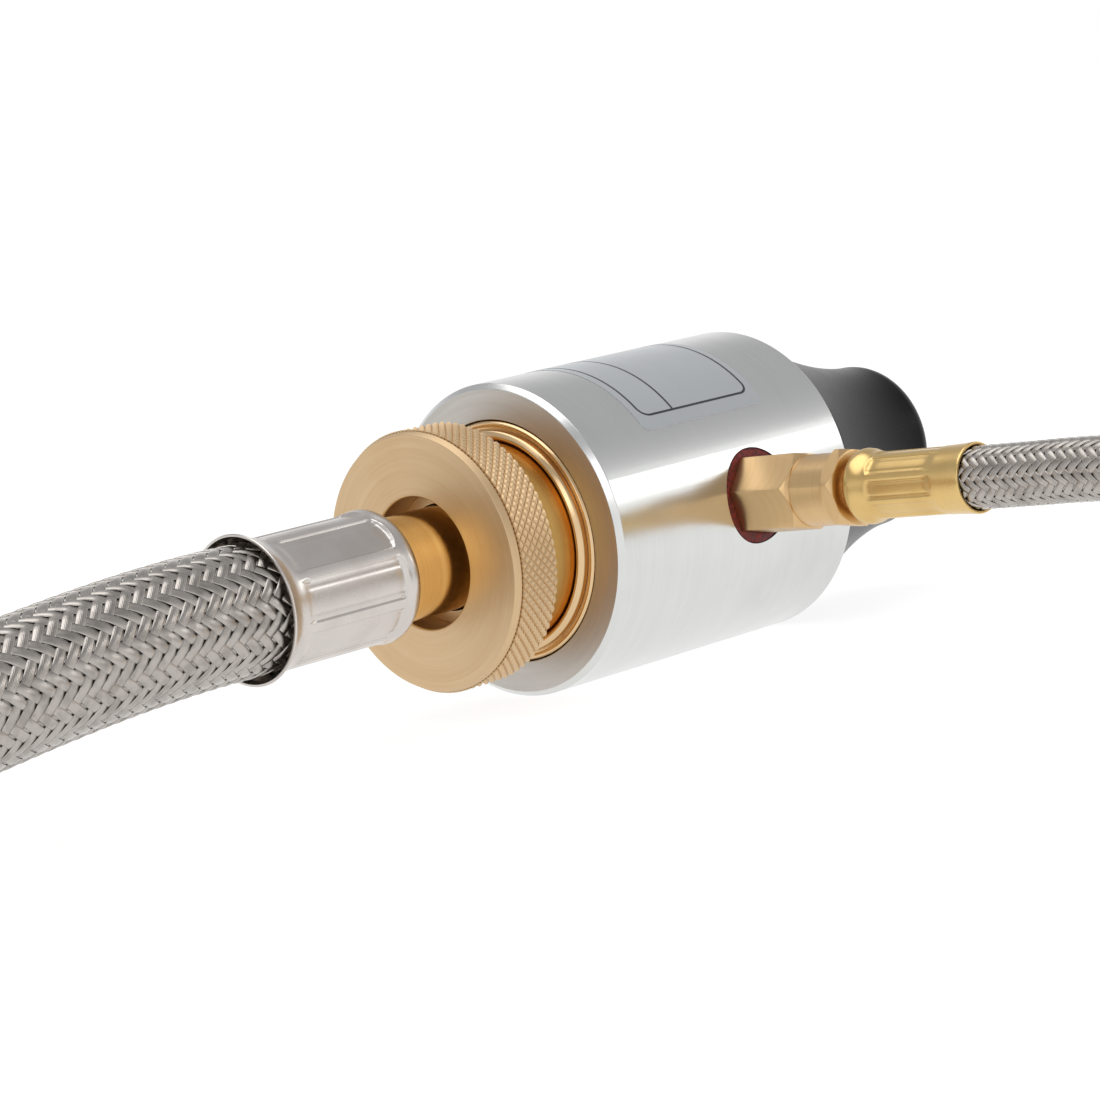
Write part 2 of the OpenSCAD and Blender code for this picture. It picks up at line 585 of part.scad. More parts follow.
module coupling_nut() color(brass) on_axis() {
    face_r = nut_face_d / 2;
    root_r = knurl_d / 2 - knurl_depth;
    under_r = root_r - 0.05;
    mouth_r = nut_bore_d / 2;
    web_front = knurl_back - nut_web_t;
    knurl_ring(knurl_d / 2, root_r, root_r - 0.8, knurl_front, knurl_back - 0.2, knurl_count,
        round(knurl_w / 1.8));
    turned([[mouth_r + 0.4, nut_face], [face_r, nut_face], [under_r, knurl_front],
        [under_r, knurl_back - 0.3], [under_r - 0.3, knurl_back], [spigot_r, knurl_back],
        [spigot_r, spigot_reach - 1], [spigot_r - 0.8, spigot_reach],
        [nut_cavity_r, spigot_reach], [nut_cavity_r, knurl_back], [nut_hole_r, knurl_back],
        [nut_hole_r, web_front], [mouth_r, web_front], [mouth_r, nut_face + 0.4]]);
}
module thrust_washer() color("#e6e2d4") on_axis()
    pipe(nut_cavity_r - gap, nut_hole_r, washer_front, washer_back);
module outlet_nipple() color(deep_brass) on_axis() {
    tube_r = outlet_tube_d / 2;
    nose_r = boss_bore_r - 0.1;
    groove_r = nose_r - 1.9;
    flange_r = nut_cavity_r - 1.2;
    stem_start = ferrule_nose - 2.6;
    turned(concat([[outlet_bore_d / 2, outlet_stem_end]],
        barbs(outlet_stem_r - 0.35, outlet_stem_end, stem_start, 5),
        [[outlet_stem_r - 0.35, stem_start], [tube_r, stem_start], [tube_r, flange_front],
        [flange_r, flange_front], [flange_r, flange_back], [nose_r, flange_back]],
        groove(nose_r, groove_r, oring_pos[0]), groove(nose_r, groove_r, oring_pos[1]),
        [[nose_r, nose_end - 1], [nose_r - 1, nose_end], [outlet_bore_d / 2, nose_end]]));
}
module nipple_orings() color(rubber) on_axis() for (z = oring_pos)
    translate([0, 0, z]) rotate_extrude() translate([boss_bore_r - 0.05 - oring_r, 0]) circle(r = oring_r);
module outlet_ferrule() color(steel) on_axis()
    translate([0, 0, ferrule_nose]) mirror([0, 0, 1]) outlet_ferrule_shape();
module outlet_hose() color(steel) swept(outlet_route, outlet_hose_d / 2, 10);
module outlet_coil() color(steel) swept(outlet_loop, outlet_hose_d / 2, loop_sides);
module outlet_tie() color("#26282b") strap(outlet_start, outlet_h, outlet_coil_d / 2,
    outlet_hose_d, outlet_climb, 270);
module outlet_hose_ends() color(rubber) {
    on_axis() translate([0, 0, ferrule_nose]) mirror([0, 0, 1]) outlet_gripped();
    outlet_end_frame() outlet_gripped();
}
module outlet_gripped() gripped(outlet_ferrule_len, outlet_stem_r, outlet_squeeze_r,
    outlet_hose_d / 2, 2.8, 4);
// The frame of the end ferrule: z = 0 at its nose, which points back along the hose
module outlet_end_frame() at_end(outlet_end, outlet_aim)
    translate([0, 0, outlet_ferrule_len]) mirror([0, 0, 1]) children();
module outlet_end_ferrule() color(steel) outlet_end_frame() outlet_ferrule_shape();

// The swivel end, from the hose's mouth outwards
end_nose = outlet_ferrule_len;
swivel_start = end_nose + 5.5;
swivel_web = swivel_start + 5;
swivel_relief = swivel_web + 8;
swivel_thread_len = 11.5;
swivel_end = swivel_relief + swivel_thread_len;
swivel_tube_r = 8;
swivel_flange_r = swivel_thread_d / 2 - 0.2;
module outlet_end_nipple() color(brass) at_end(outlet_end, outlet_aim)
    turned(concat([[outlet_bore_d / 2, 4]], barbs(outlet_stem_r - 0.35, 4, end_nose - 2.6, 5),
        [[outlet_stem_r - 0.35, end_nose - 2.6], [outlet_tube_d / 2, end_nose - 2.6],
        [outlet_tube_d / 2, swivel_start - 1.5], [swivel_tube_r, swivel_start - 1.5],
        [swivel_tube_r, swivel_web + gap], [swivel_flange_r, swivel_web + gap],
        [swivel_flange_r, swivel_web + 2], [swivel_flange_r - 2.5, swivel_web + 4.5],
        [outlet_bore_d / 2, swivel_web + 4.5]]));
module swivel_nut() color(brass) at_end(outlet_end, outlet_aim) difference() {
    hex_bar(swivel_af, swivel_start, swivel_end, 1.6, 1.6);
    bore(swivel_tube_r + gap, swivel_start - 1, swivel_end);
    bore(swivel_thread_d / 2 + 0.6, swivel_web, swivel_relief);
    bore(swivel_thread_d / 2, swivel_relief - 1, swivel_end + 1);
}

// ---- inlet ----

module inlet_adapter() color(brass) on_branch() difference() {
    union() {
        hex_bar(inlet_af, hex_start, hex_end, 0, 1.2);
        hex_bar(inlet_af, neck_end, collar_end, 1, 1);
        turned(concat([[0, shank_start + 1], [shank_r - 1, shank_start + 1],
            [shank_r, shank_start + 2], [shank_r, hex_start + 1], [inlet_af / 2 - 0.2, hex_start + 1],
            [inlet_af / 2 - 0.2, collar_end], [inlet_groove_r, collar_end],
            [inlet_groove_r, inlet_nose + 2.6]],
            barbs(inlet_stem_r - 0.35, inlet_nose + 2.6, inlet_stem_end, 5),
            [[inlet_stem_r - 0.5, inlet_stem_end], [0, inlet_stem_end]]));
    }
    bore(inlet_bore_d / 2, shank_start, neck_end);
    bore(inlet_stem_bore_r, neck_end - 1, inlet_mouth);
}
module thread_sealant() color(red_paste) on_branch()
    turned([[shank_r + 0.1, sealant_start], [side_hole_d / 2 - 0.6, sealant_start],
        [side_hole_d / 2 - 0.3, sealant_start + 1], [side_hole_d / 2 - 0.4, hex_start - 0.6],
        [side_hole_d / 2 - 0.8, hex_start - 0.05], [shank_r + 0.1, hex_start - 0.05]]);
module inlet_filter() color(steel) on_branch() difference() {
    r = inlet_bore_d / 2 - 0.05;
    turned([[0, shank_start + 2], [r - 1.2, shank_start + 2], [r - 0.6, shank_start + 10],
        [r, shank_start + 10], [r, shank_start + 12], [0, shank_start + 12]]);
    bore(r - 1.8, shank_start + 3, shank_start + 12 + 1);
}
module inlet_ferrule() color("#d3a548") on_branch()
    translate([0, 0, inlet_nose]) inlet_ferrule_shape();
module inlet_hose() color(steel) swept(inlet_route, inlet_hose_d / 2, 10);
module inlet_coil() color(steel) swept(inlet_loop, inlet_hose_d / 2, loop_sides);
module inlet_tie() color("#26282b") strap(inlet_start, inlet_h, inlet_coil_d / 2,
    inlet_hose_d, inlet_climb, 0);
module inlet_gripped() gripped(inlet_ferrule_len, inlet_stem_r, inlet_squeeze_r,
    inlet_hose_d / 2, 2.8, 6);
module inlet_end_frame() at_end(inlet_end, inlet_aim)
    translate([0, 0, inlet_ferrule_len]) mirror([0, 0, 1]) children();
module inlet_hose_ends() color(rubber) {
    on_branch() translate([0, 0, inlet_nose]) inlet_gripped();
    inlet_end_frame() inlet_gripped();
}
module inlet_end_ferrule() color("#d3a548") inlet_end_frame() inlet_ferrule_shape();

// The cylinder end, from the hose's mouth outwards
bullet_tube_r = 4.6;
cylinder_start = inlet_ferrule_len + 4;
cylinder_shoulder = cylinder_start + 11;
cylinder_end = cylinder_shoulder + 14;
bullet_start = cylinder_end + gap;
bullet_r = 7.8;
bullet_len = 13;
module bullet_nipple() color(brass) at_end(inlet_end, inlet_aim) {
    tip = bullet_start + bullet_len;
    ring_z = bullet_start + 4;
    turned(concat([[inlet_stem_bore_r, 3]],
        barbs(inlet_stem_r - 0.35, 3, inlet_ferrule_len - 2.6, 5),
        [[inlet_stem_r - 0.35, inlet_ferrule_len - 2.6], [inlet_groove_r, inlet_ferrule_len - 2.6],
        [inlet_groove_r, bullet_start], [bullet_r, bullet_start], [bullet_r, ring_z - 1.2],
        [bullet_r - 1.7, ring_z - 1.2], [bullet_r - 1.7, ring_z + 1.2], [bullet_r, ring_z + 1.2]],
        [for (a = [0:18:90]) [bullet_r - 4.4 * (1 - cos(a)),
            ring_z + 1.6 + (tip - ring_z - 1.6) * sin(a)]],
        [[inlet_stem_bore_r, tip]]));
}
module bullet_oring() color(rubber) at_end(inlet_end, inlet_aim)
    translate([0, 0, bullet_start + 4]) rotate_extrude() translate([bullet_r - 0.65, 0]) circle(r = 1);
module cylinder_nut() color(brass) at_end(inlet_end, inlet_aim) difference() {
    union() {
        hex_bar(cylinder_af, cylinder_start, cylinder_shoulder, 1.4, 1);
        turned([[0, cylinder_start + 1], [cylinder_thread_d / 2, cylinder_start + 1],
            [cylinder_thread_d / 2, cylinder_end - 1], [cylinder_thread_d / 2 - 1, cylinder_end],
            [0, cylinder_end]]);
    }
    bore(bullet_tube_r + gap, cylinder_start - 1, cylinder_end + 1);
}

echo(middle = middle, axis_h = axis_h, outlet_end = outlet_end, outlet_aim = outlet_aim,
    swivel = [swivel_start, swivel_web, swivel_relief, swivel_end],
    inlet_end = inlet_end, inlet_aim = inlet_aim,
    cylinder = [cylinder_start, cylinder_shoulder, cylinder_end, bullet_start + bullet_len]);

cover();
outlet_collar();
valve_body();
valve_seat();
valve_poppet();
poppet_seal();
poppet_spring();
valve_plug();
diaphragm();
diaphragm_plate();
main_spring();
spring_button();
adjusting_screw();
bonnet();
retaining_ring();
vent_boot();
coupling_nut();
thrust_washer();
outlet_nipple();
nipple_orings();
outlet_ferrule();
outlet_hose();
outlet_coil();
outlet_tie();
outlet_hose_ends();
outlet_end_ferrule();
outlet_end_nipple();
swivel_nut();
inlet_adapter();
thread_sealant();
inlet_filter();
inlet_ferrule();
inlet_hose();
inlet_coil();
inlet_tie();
inlet_hose_ends();
inlet_end_ferrule();
bullet_nipple();
bullet_oring();
cylinder_nut();
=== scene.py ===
"""Looks of a propane regulator with a braided outlet hose and a braided inlet hose.

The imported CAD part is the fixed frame: every piece is made in metres, in the same place as
the CAD node that it stands for. Turned pieces are drawn as outlines of (radius, station)
in millimetres along an axis of their own, and the axis puts them into the frame.
"""

import logging
import math
from collections.abc import Callable, Sequence
from dataclasses import dataclass, field
from enum import Enum

import bmesh
import bpy
import numpy as np
from mathutils import Matrix, Vector

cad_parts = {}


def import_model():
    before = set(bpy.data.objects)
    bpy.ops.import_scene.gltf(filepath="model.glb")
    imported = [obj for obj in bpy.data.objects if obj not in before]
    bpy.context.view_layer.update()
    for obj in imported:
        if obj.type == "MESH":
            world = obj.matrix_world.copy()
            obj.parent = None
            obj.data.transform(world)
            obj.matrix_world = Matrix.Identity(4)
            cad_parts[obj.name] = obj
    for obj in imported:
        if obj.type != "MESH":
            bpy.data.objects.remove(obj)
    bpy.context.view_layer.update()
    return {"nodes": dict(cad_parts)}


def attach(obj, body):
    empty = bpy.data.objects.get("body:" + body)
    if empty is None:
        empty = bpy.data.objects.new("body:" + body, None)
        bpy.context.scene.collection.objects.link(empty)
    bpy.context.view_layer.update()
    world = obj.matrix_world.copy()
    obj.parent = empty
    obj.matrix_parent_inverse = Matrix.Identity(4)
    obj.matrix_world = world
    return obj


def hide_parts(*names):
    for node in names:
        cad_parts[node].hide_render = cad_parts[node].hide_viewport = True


MM = 0.001
LOG = logging.getLogger("regulator")
Outline = Sequence[tuple[float, ...]]
Point = tuple[float, float, float]
Box = tuple[float, float, float, float]
Colour = tuple[float, float, float, float]
Grid = np.ndarray
Shape = Callable[[Grid, Grid, Grid], tuple[Grid, Grid]]
SHARP = 32.0
WHITE = (1.0, 1.0, 1.0, 1.0)
CIRCLE = 2 * math.pi


# ---- axes ----


@dataclass(frozen=True)
class Axis:
    """A line that pieces are turned round.

    Attributes:
        origin: Where station 0 lies, in metres.
        x: Direction of angle 0.
        y: Direction of angle 90 degrees.
        z: Direction in which the stations rise.
    """

    origin: Point
    x: Point
    y: Point
    z: Point

    def place(self, points: Grid) -> Grid:
        """Returns points given in millimetres round the axis as metres in the frame."""
        return np.array(self.origin) + MM * points @ np.array([self.x, self.y, self.z])

    def at(self, station: float) -> Grid:
        """Returns the point of the axis at a station, in metres."""
        return self.place(np.array([0.0, 0.0, station]))


def spun(axis: Axis, degrees: float) -> Axis:
    """Returns an axis with its angle 0 turned by an angle towards its angle 90."""
    c, s = math.cos(math.radians(degrees)), math.sin(math.radians(degrees))
    x, y = np.array(axis.x), np.array(axis.y)
    return Axis(axis.origin, tuple(c * x + s * y), tuple(c * y - s * x), axis.z)


def level_axis(origin: Point, heading: float) -> Axis:
    """Returns a level axis that points along a heading.

    Args:
        origin: Where station 0 lies, in metres.
        heading: Degrees from +X towards +Y.
    """
    c, s = math.cos(math.radians(heading)), math.sin(math.radians(heading))
    return Axis(origin, (0.0, 0.0, -1.0), (-s, c, 0.0), (c, s, 0.0))


REGULATOR = Axis((-0.025, -0.024, 0.030), (1.0, 0.0, 0.0), (0.0, 0.0, -1.0), (0.0, 1.0, 0.0))
BRANCH = level_axis((-0.025, 0.0155, 0.030), 0.0)


# ---- meshes ----


def rounded(outline: Outline, fillet: float = 0.15, steps: int = 2) -> Grid:
    """Rounds the corners of a closed outline.

    Args:
        outline: Corners as (radius, station) or (radius, station, fillet of that corner).
        fillet: Fillet of the corners that name none, in millimetres.
        steps: Number of faces in a fillet.

    Returns:
        The points of the rounded outline, one row each.
    """
    corners = [np.array(c[:2], float) for c in outline]
    points: list[Grid] = []
    for i, corner in enumerate(corners):
        size = outline[i][2] if len(outline[i]) > 2 else fillet
        before, after = corners[i - 1] - corner, corners[(i + 1) % len(corners)] - corner
        la, lb = np.linalg.norm(before), np.linalg.norm(after)
        if size <= 0 or min(la, lb) < 1e-6 or corner[0] < 1e-6:
            points.append(corner)
            continue
        a, b = before / la, after / lb
        if a @ b < -0.94:
            points.append(corner)
            continue
        reach = min(size, 0.45 * la, 0.45 * lb)
        for k in range(steps + 1):
            t = k / steps
            points.append(corner + a * reach * (1 - t) ** 2 + b * reach * t**2)
    return np.array(points)


def arc(centre: tuple[float, float], r: float, a0: float, a1: float, n: int = 6) -> list[Point]:
    """Returns points of an arc from a0 to a1 degrees, each with no further rounding."""
    angles = np.radians(np.linspace(a0, a1, n + 1))
    return [(centre[0] + r * math.cos(a), centre[1] + r * math.sin(a), 0.0) for a in angles]


def link_object(name: str, data: bpy.types.ID) -> bpy.types.Object:
    """Returns a new object in the scene that holds a mesh, a lamp or a camera."""
    piece = bpy.data.objects.new(name, data)
    bpy.context.scene.collection.objects.link(piece)
    return piece


def make_smooth(piece: bpy.types.Object, sharp: float = SHARP) -> None:
    """Shades a piece smooth, with edges above an angle in degrees left sharp."""
    piece.data.polygons.foreach_set("use_smooth", np.ones(len(piece.data.polygons), bool))
    piece.data.set_sharp_from_angle(angle=math.radians(sharp))
    piece.modifiers.new("face_weights", "WEIGHTED_NORMAL").keep_sharp = True


def make_object(name: str, mesh: bpy.types.Mesh, sharp: float = SHARP) -> bpy.types.Object:
    """Returns a mesh as a smooth object with sharp edges above an angle in degrees."""
    piece = link_object(name, mesh)
    make_smooth(piece, sharp)
    return piece


def clean_mesh(
    name: str, points: Grid, faces: Sequence, weld: float = 1e-6
) -> bpy.types.Mesh:
    """Builds a mesh, welds points that coincide and turns its faces outwards.

    Args:
        name: Name of the mesh.
        points: Points in metres, one row each.
        faces: Point numbers of each face.
        weld: Distance in metres below which points become one.
    """
    mesh = bpy.data.meshes.new(name)
    mesh.from_pydata(points.tolist(), [], [tuple(int(i) for i in f) for f in faces])
    draft = bmesh.new()
    draft.from_mesh(mesh)
    bmesh.ops.remove_doubles(draft, verts=draft.verts, dist=weld)
    bmesh.ops.dissolve_degenerate(draft, edges=draft.edges, dist=weld / 10)
    bmesh.ops.recalc_face_normals(draft, faces=draft.faces)
    draft.to_mesh(mesh)
    draft.free()
    return mesh


def ring_faces(rings: int, sides: int, closed: bool = True) -> Grid:
    """Returns the four-sided faces between rings of points, ring after ring.

    Args:
        rings: Number of rings.
        sides: Points in a ring.
        closed: Whether the last ring joins the first.
    """
    index = np.arange(rings * sides).reshape(rings, sides)
    beyond = np.roll(index, -1, axis=0)
    corners = [index, np.roll(index, -1, axis=1), np.roll(beyond, -1, axis=1), beyond]
    faces = np.stack(corners, axis=-1)
    return (faces if closed else faces[:-1]).reshape(-1, 4)


def shaped(
    name: str,
    axis: Axis,
    outline: Grid,
    angles: Grid,
    shape: Shape | None = None,
    sharp: float = SHARP,
) -> bpy.types.Object:
    """Turns a closed outline that a function changes from angle to angle.

    Args:
        name: Name of the new object.
        axis: Axis that the outline is turned round.
        outline: The outline before it is changed.
        angles: Angle of each row, in radians.
        shape: Takes radii, stations and angles as arrays and returns new radii and stations.
        sharp: Angle in degrees above which an edge stays sharp.
    """
    size = (len(angles), len(outline))
    turn = np.broadcast_to(angles[:, None], size)
    radii, stations = (np.broadcast_to(outline[:, k], size) for k in (0, 1))
    if shape:
        radii, stations = shape(radii, stations, turn)
    local = np.stack([radii * np.cos(turn), radii * np.sin(turn), stations], axis=-1)
    mesh = clean_mesh(name, axis.place(local.reshape(-1, 3)), ring_faces(*size))
    return make_object(name, mesh, sharp)


def turned(name: str, axis: Axis, outline: Grid, segments: int = 128) -> bpy.types.Object:
    """Turns one closed outline round an axis."""
    return shaped(name, axis, outline, np.linspace(0, CIRCLE, segments, endpoint=False))


def side_angles(sides: int, offsets: Sequence[float]) -> Grid:
    """Returns angles in radians that repeat the same offsets, in degrees, on each side."""
    step = 360 / sides
    return np.radians([step * k + o for k in range(sides) for o in offsets])


def from_side(angles: Grid, sides: int) -> Grid:
    """Returns how far each angle is from the middle of its side, in radians."""
    step = CIRCLE / sides
    return (angles + step / 2) % step - step / 2


HEX_ANGLES = side_angles(6, (-29.3, -24.0, -16.0, -8.0, 0.0, 8.0, 16.0, 24.0, 29.3))


@dataclass(frozen=True)
class HexBar:
    """A hexagonal stretch of a turned piece, with its corners turned off.

    Attributes:
        across: Distance across the flats, in millimetres.
        start: Station of its first face.
        end: Station of its last face.
        chamfer_start: Length of the turned corner at the start.
        chamfer_end: Length of the turned corner at the end.
    """

    across: float
    start: float
    end: float
    chamfer_start: float
    chamfer_end: float

    @property
    def rim(self) -> float:
        """Radius over the corners."""
        return self.across / math.sqrt(3)

    @property
    def faces(self) -> tuple[Point, Point]:
        """Station, chamfer and inward direction of both faces."""
        return (self.start, self.chamfer_start, 1), (self.end, self.chamfer_end, -1)

    def outline(self) -> list[Point]:
        """Returns outer outline points, from start to end, for points of any radius."""
        flat = self.across / 2
        points: list[Point] = []
        for station, chamfer, sign in self.faces:
            rows = [(flat - 0.2, station, 0.0)]
            rows += [
                (flat + (self.rim - flat) * t, station + sign * (chamfer + 0.12) * t, 0.0)
                for t in (0.25, 0.5, 0.75, 1.0)
            ]
            points += rows if sign > 0 else rows[::-1]
        return points

    def shape(self, radii: Grid, stations: Grid, angles: Grid) -> tuple[Grid, Grid]:
        """Holds radii within the hexagon and keeps the chamfer's edge on each flat."""
        flat = self.across / 2
        limit = np.minimum(flat / np.cos(from_side(angles, 6)), self.rim - 0.1)
        share = np.clip((limit - flat) / (self.rim - flat), 0, 1)
        new = stations
        for station, chamfer, sign in self.faces:
            off = np.abs(stations - station)
            near = (radii > flat - 0.25) & (radii > limit) & (off < chamfer + 0.3) & (off > 1e-9)
            new = np.where(near, station + sign * (chamfer + 0.12) * share, new)
        return np.minimum(radii, limit), new


# ---- shader nodes ----


class ShaderTree:
    """Adds shader nodes to a new material and wires them by the names of their sockets."""

    def __init__(self, name: str, world: bool = False) -> None:
        """Starts an empty material, or an empty world, with the given name."""
        self.owner = (bpy.data.worlds if world else bpy.data.materials).new(name)
        self.owner.use_nodes = True
        self.tree = self.owner.node_tree
        self.tree.nodes.clear()

    def add(self, kind: str, inputs: dict | None = None, **settings: object) -> bpy.types.Node:
        """Adds a node.

        Args:
            kind: The node's type, without the ShaderNode prefix.
            inputs: Values or output sockets for the node's inputs, by name or number.
            settings: Attributes of the node.

        Returns:
            The new node.
        """
        node = self.tree.nodes.new("ShaderNode" + kind)
        for key, value in settings.items():
            setattr(node, key, value)
        for key, value in (inputs or {}).items():
            if isinstance(value, bpy.types.NodeSocket):
                self.tree.links.new(value, node.inputs[key])
            else:
                node.inputs[key].default_value = value
        return node

    def math(self, operation: str, *values: object) -> bpy.types.NodeSocket:
        """Returns the result of a Math node on the given values or sockets."""
        return self.add("Math", dict(enumerate(values)), operation=operation).outputs[0]

    def vector(self, operation: str, inputs: dict) -> bpy.types.NodeSocket:
        """Returns the result of a Vector Math node."""
        output = "Value" if operation in ("DOT_PRODUCT", "LENGTH") else "Vector"
        return self.add("VectorMath", inputs, operation=operation).outputs[output]

    def blend(self, share: object, a: object, b: object) -> bpy.types.NodeSocket:
        """Returns the colour a mixed towards the colour b by share."""
        return self.add("Mix", {0: share, 6: a, 7: b}, data_type="RGBA").outputs[2]

    def spread(self, value: object, low: float, high: float) -> bpy.types.NodeSocket:
        """Returns a value between 0 and 1 as one between low and high."""
        return self.add("MapRange", {0: value, 3: low, 4: high}).outputs[0]

    def ramp(self, value: object, start: float, end: float) -> bpy.types.NodeSocket:
        """Returns 0 below start, 1 above end and a smooth step between them."""
        inputs = {0: value, 1: start, 2: end}
        return self.add("MapRange", inputs, interpolation_type="SMOOTHSTEP").outputs[0]

    def noise(
        self, vector: object, scale: float, detail: float, rough: float
    ) -> bpy.types.NodeSocket:
        """Returns the value of a noise texture."""
        inputs = {"Vector": vector, "Scale": scale, "Detail": detail, "Roughness": rough}
        return self.add("TexNoise", inputs).outputs[0]

    def place(self) -> bpy.types.NodeSocket:
        """Returns a point's place in the frame, in metres."""
        return self.add("TexCoord").outputs["Object"]

    def surface(self, inputs: dict) -> bpy.types.Material:
        """Ends the material in one Principled shader and returns it."""
        shader = self.add("BsdfPrincipled", inputs)
        self.add("OutputMaterial", {"Surface": shader.outputs[0]})
        return self.owner


def rgb(*values: float) -> Colour:
    """Returns red, green and blue display values up to 255 as a socket's linear colour."""
    shares = [value / 255 for value in values]
    linear = [v / 12.92 if v <= 0.04045 else ((v + 0.055) / 1.055) ** 2.4 for v in shares]
    return (*linear, 1.0)


def toned(colour: Colour, share: float, lift: float = 0.0) -> Colour:
    """Returns a colour with its parts multiplied by a share and lifted."""
    return (*(min(1.0, c * share + lift) for c in colour[:3]), 1.0)


@dataclass(frozen=True)
class TurnedMetal:
    """Metal with the fine rings that a lathe tool or a brush leaves.

    Attributes:
        name: Name of the material.
        slot: Material slot of the record.
        colour: Colour of the bare metal.
        stain: Colour of its slightly darker patches.
        roughness: Middle roughness.
        rings: Rings per metre.
        depth: Depth of the rings in the bump, in metres.
        grain: Share of the rings that shows in the colour.
        anisotropy: How far a highlight is drawn out across the rings.
    """

    name: str
    slot: str
    colour: Colour
    stain: Colour
    roughness: float = 0.3
    rings: float = 2600.0
    depth: float = 2.0e-6
    grain: float = 0.25
    anisotropy: float = 0.5

    def material(self, axis: Axis, suffix: str = "") -> bpy.types.Material:
        """Builds the material with its rings round the given axis."""
        t = ShaderTree(self.name + suffix)
        local = t.vector("SUBTRACT", {0: t.place(), 1: axis.origin})
        station = t.vector("DOT_PRODUCT", {0: local, 1: axis.z})
        along = t.vector("SCALE", {0: axis.z, "Scale": station})
        out = t.vector("SUBTRACT", {0: local, 1: along})
        radius = t.vector("LENGTH", {0: out})
        ring_at = t.math("MULTIPLY", t.math("ADD", station, radius), self.rings)
        ring_along = t.vector("SCALE", {0: axis.z, "Scale": ring_at})
        sweep = t.vector("SCALE", {0: out, "Scale": 60.0})
        ringed = t.vector("ADD", {0: ring_along, 1: sweep})
        rings = t.noise(ringed, 1.0, 3.0, 0.6)
        broad = t.noise(t.vector("SCALE", {0: ringed, "Scale": 0.12}), 1.0, 2.0, 0.5)
        patches = t.noise(t.place(), 45.0, 3.0, 0.5)
        marks = t.math("ADD", t.math("MULTIPLY", rings, 0.6), t.math("MULTIPLY", broad, 0.4))
        tone = t.math(
            "ADD",
            t.math("MULTIPLY", t.ramp(marks, 0.35, 0.65), self.grain),
            t.math("MULTIPLY", t.ramp(patches, 0.45, 0.75), 0.35),
        )
        bump = t.add("Bump", {"Height": marks, "Distance": self.depth, "Strength": 1.0})
        return t.surface(
            {
                "Base Color": t.blend(tone, self.colour, self.stain),
                "Metallic": 1.0,
                "Roughness": t.spread(marks, self.roughness * 0.75, self.roughness * 1.3),
                "Anisotropic": self.anisotropy,
                "Normal": bump.outputs[0],
                "Tangent": t.vector("CROSS_PRODUCT", {0: axis.z, 1: local}),
            }
        )


@dataclass(frozen=True)
class Grained:
    """A surface with patches and a fine grain but no rings.

    Attributes:
        name: Name of the material.
        slot: Material slot of the record.
        colour: Its colour.
        stain: Colour of its patches.
        roughness: Roughness outside the patches and in them.
        patches: Scale, detail and roughness of the patches' noise.
        tone: Noise at which a patch starts and is full, and its strength; plain if None.
        grain: Scale, detail and roughness of the grain's noise.
        bump: Depth of the grain, in metres, and its strength.
        look: More inputs of the shader.
    """

    name: str
    slot: str
    colour: Colour
    stain: Colour
    roughness: tuple[float, float]
    patches: Point
    tone: Point | None
    grain: Point
    bump: tuple[float, float]
    look: dict[str, float] = field(default_factory=dict)

    @classmethod
    def metal(
        cls, name: str, slot: str, colour: Colour, stain: Colour,
        roughness: float = 0.3, grain: float = 1500.0, depth: float = 3.0e-6,
    ) -> "Grained":
        """Returns metal with a cast, pressed or drawn surface, with its grains per metre."""
        return cls(
            name, slot, colour, stain, (roughness * 0.7, roughness * 1.35), (90.0, 3.0, 0.5),
            (0.4, 0.75, 0.5), (grain, 3.0, 0.6), (depth, 1.0), {"Metallic": 1.0},
        )

    @classmethod
    def rubber(
        cls, name: str, slot: str, colour: Colour = rgb(26, 26, 28),
        roughness: float = 0.42, shine: float = 0.35,
    ) -> "Grained":
        """Returns moulded rubber, where a shine of 0.5 is a common plastic's."""
        return cls(
            name, slot, colour, toned(colour, 2.1, 0.004), (roughness * 0.85, roughness * 1.25),
            (120.0, 4.0, 0.6), (0.55, 0.8, 1.0), (2600.0, 3.0, 0.6), (8.0e-6, 1.0),
            {"Specular IOR Level": shine},
        )

    @classmethod
    def film(cls, name: str, colour: Colour, roughness: float = 0.32) -> "Grained":
        """Returns frosted film or the ink on it."""
        return cls(
            name, "cover_aluminium", colour, toned(colour, 0.93),
            (roughness * 0.9, roughness * 1.15), (160.0, 3.0, 0.5), None, (3000.0, 2.0, 0.5),
            (2.0e-6, 1.0), {"Metallic": 0.35, "Coat Weight": 0.25},
        )

    def material(self) -> bpy.types.Material:
        """Builds the material."""
        t = ShaderTree(self.name)
        patches, grain = t.noise(t.place(), *self.patches), t.noise(t.place(), *self.grain)
        tone = patches
        if self.tone:
            start, full, strength = self.tone
            tone = t.math("MULTIPLY", t.ramp(patches, start, full), strength)
        depth, strength = self.bump
        bump = t.add("Bump", {"Height": grain, "Distance": depth, "Strength": strength})
        return t.surface(
            {
                "Base Color": t.blend(tone, self.colour, self.stain),
                "Roughness": t.spread(patches, *self.roughness),
                "Normal": bump.outputs[0],
                **self.look,
            }
        )


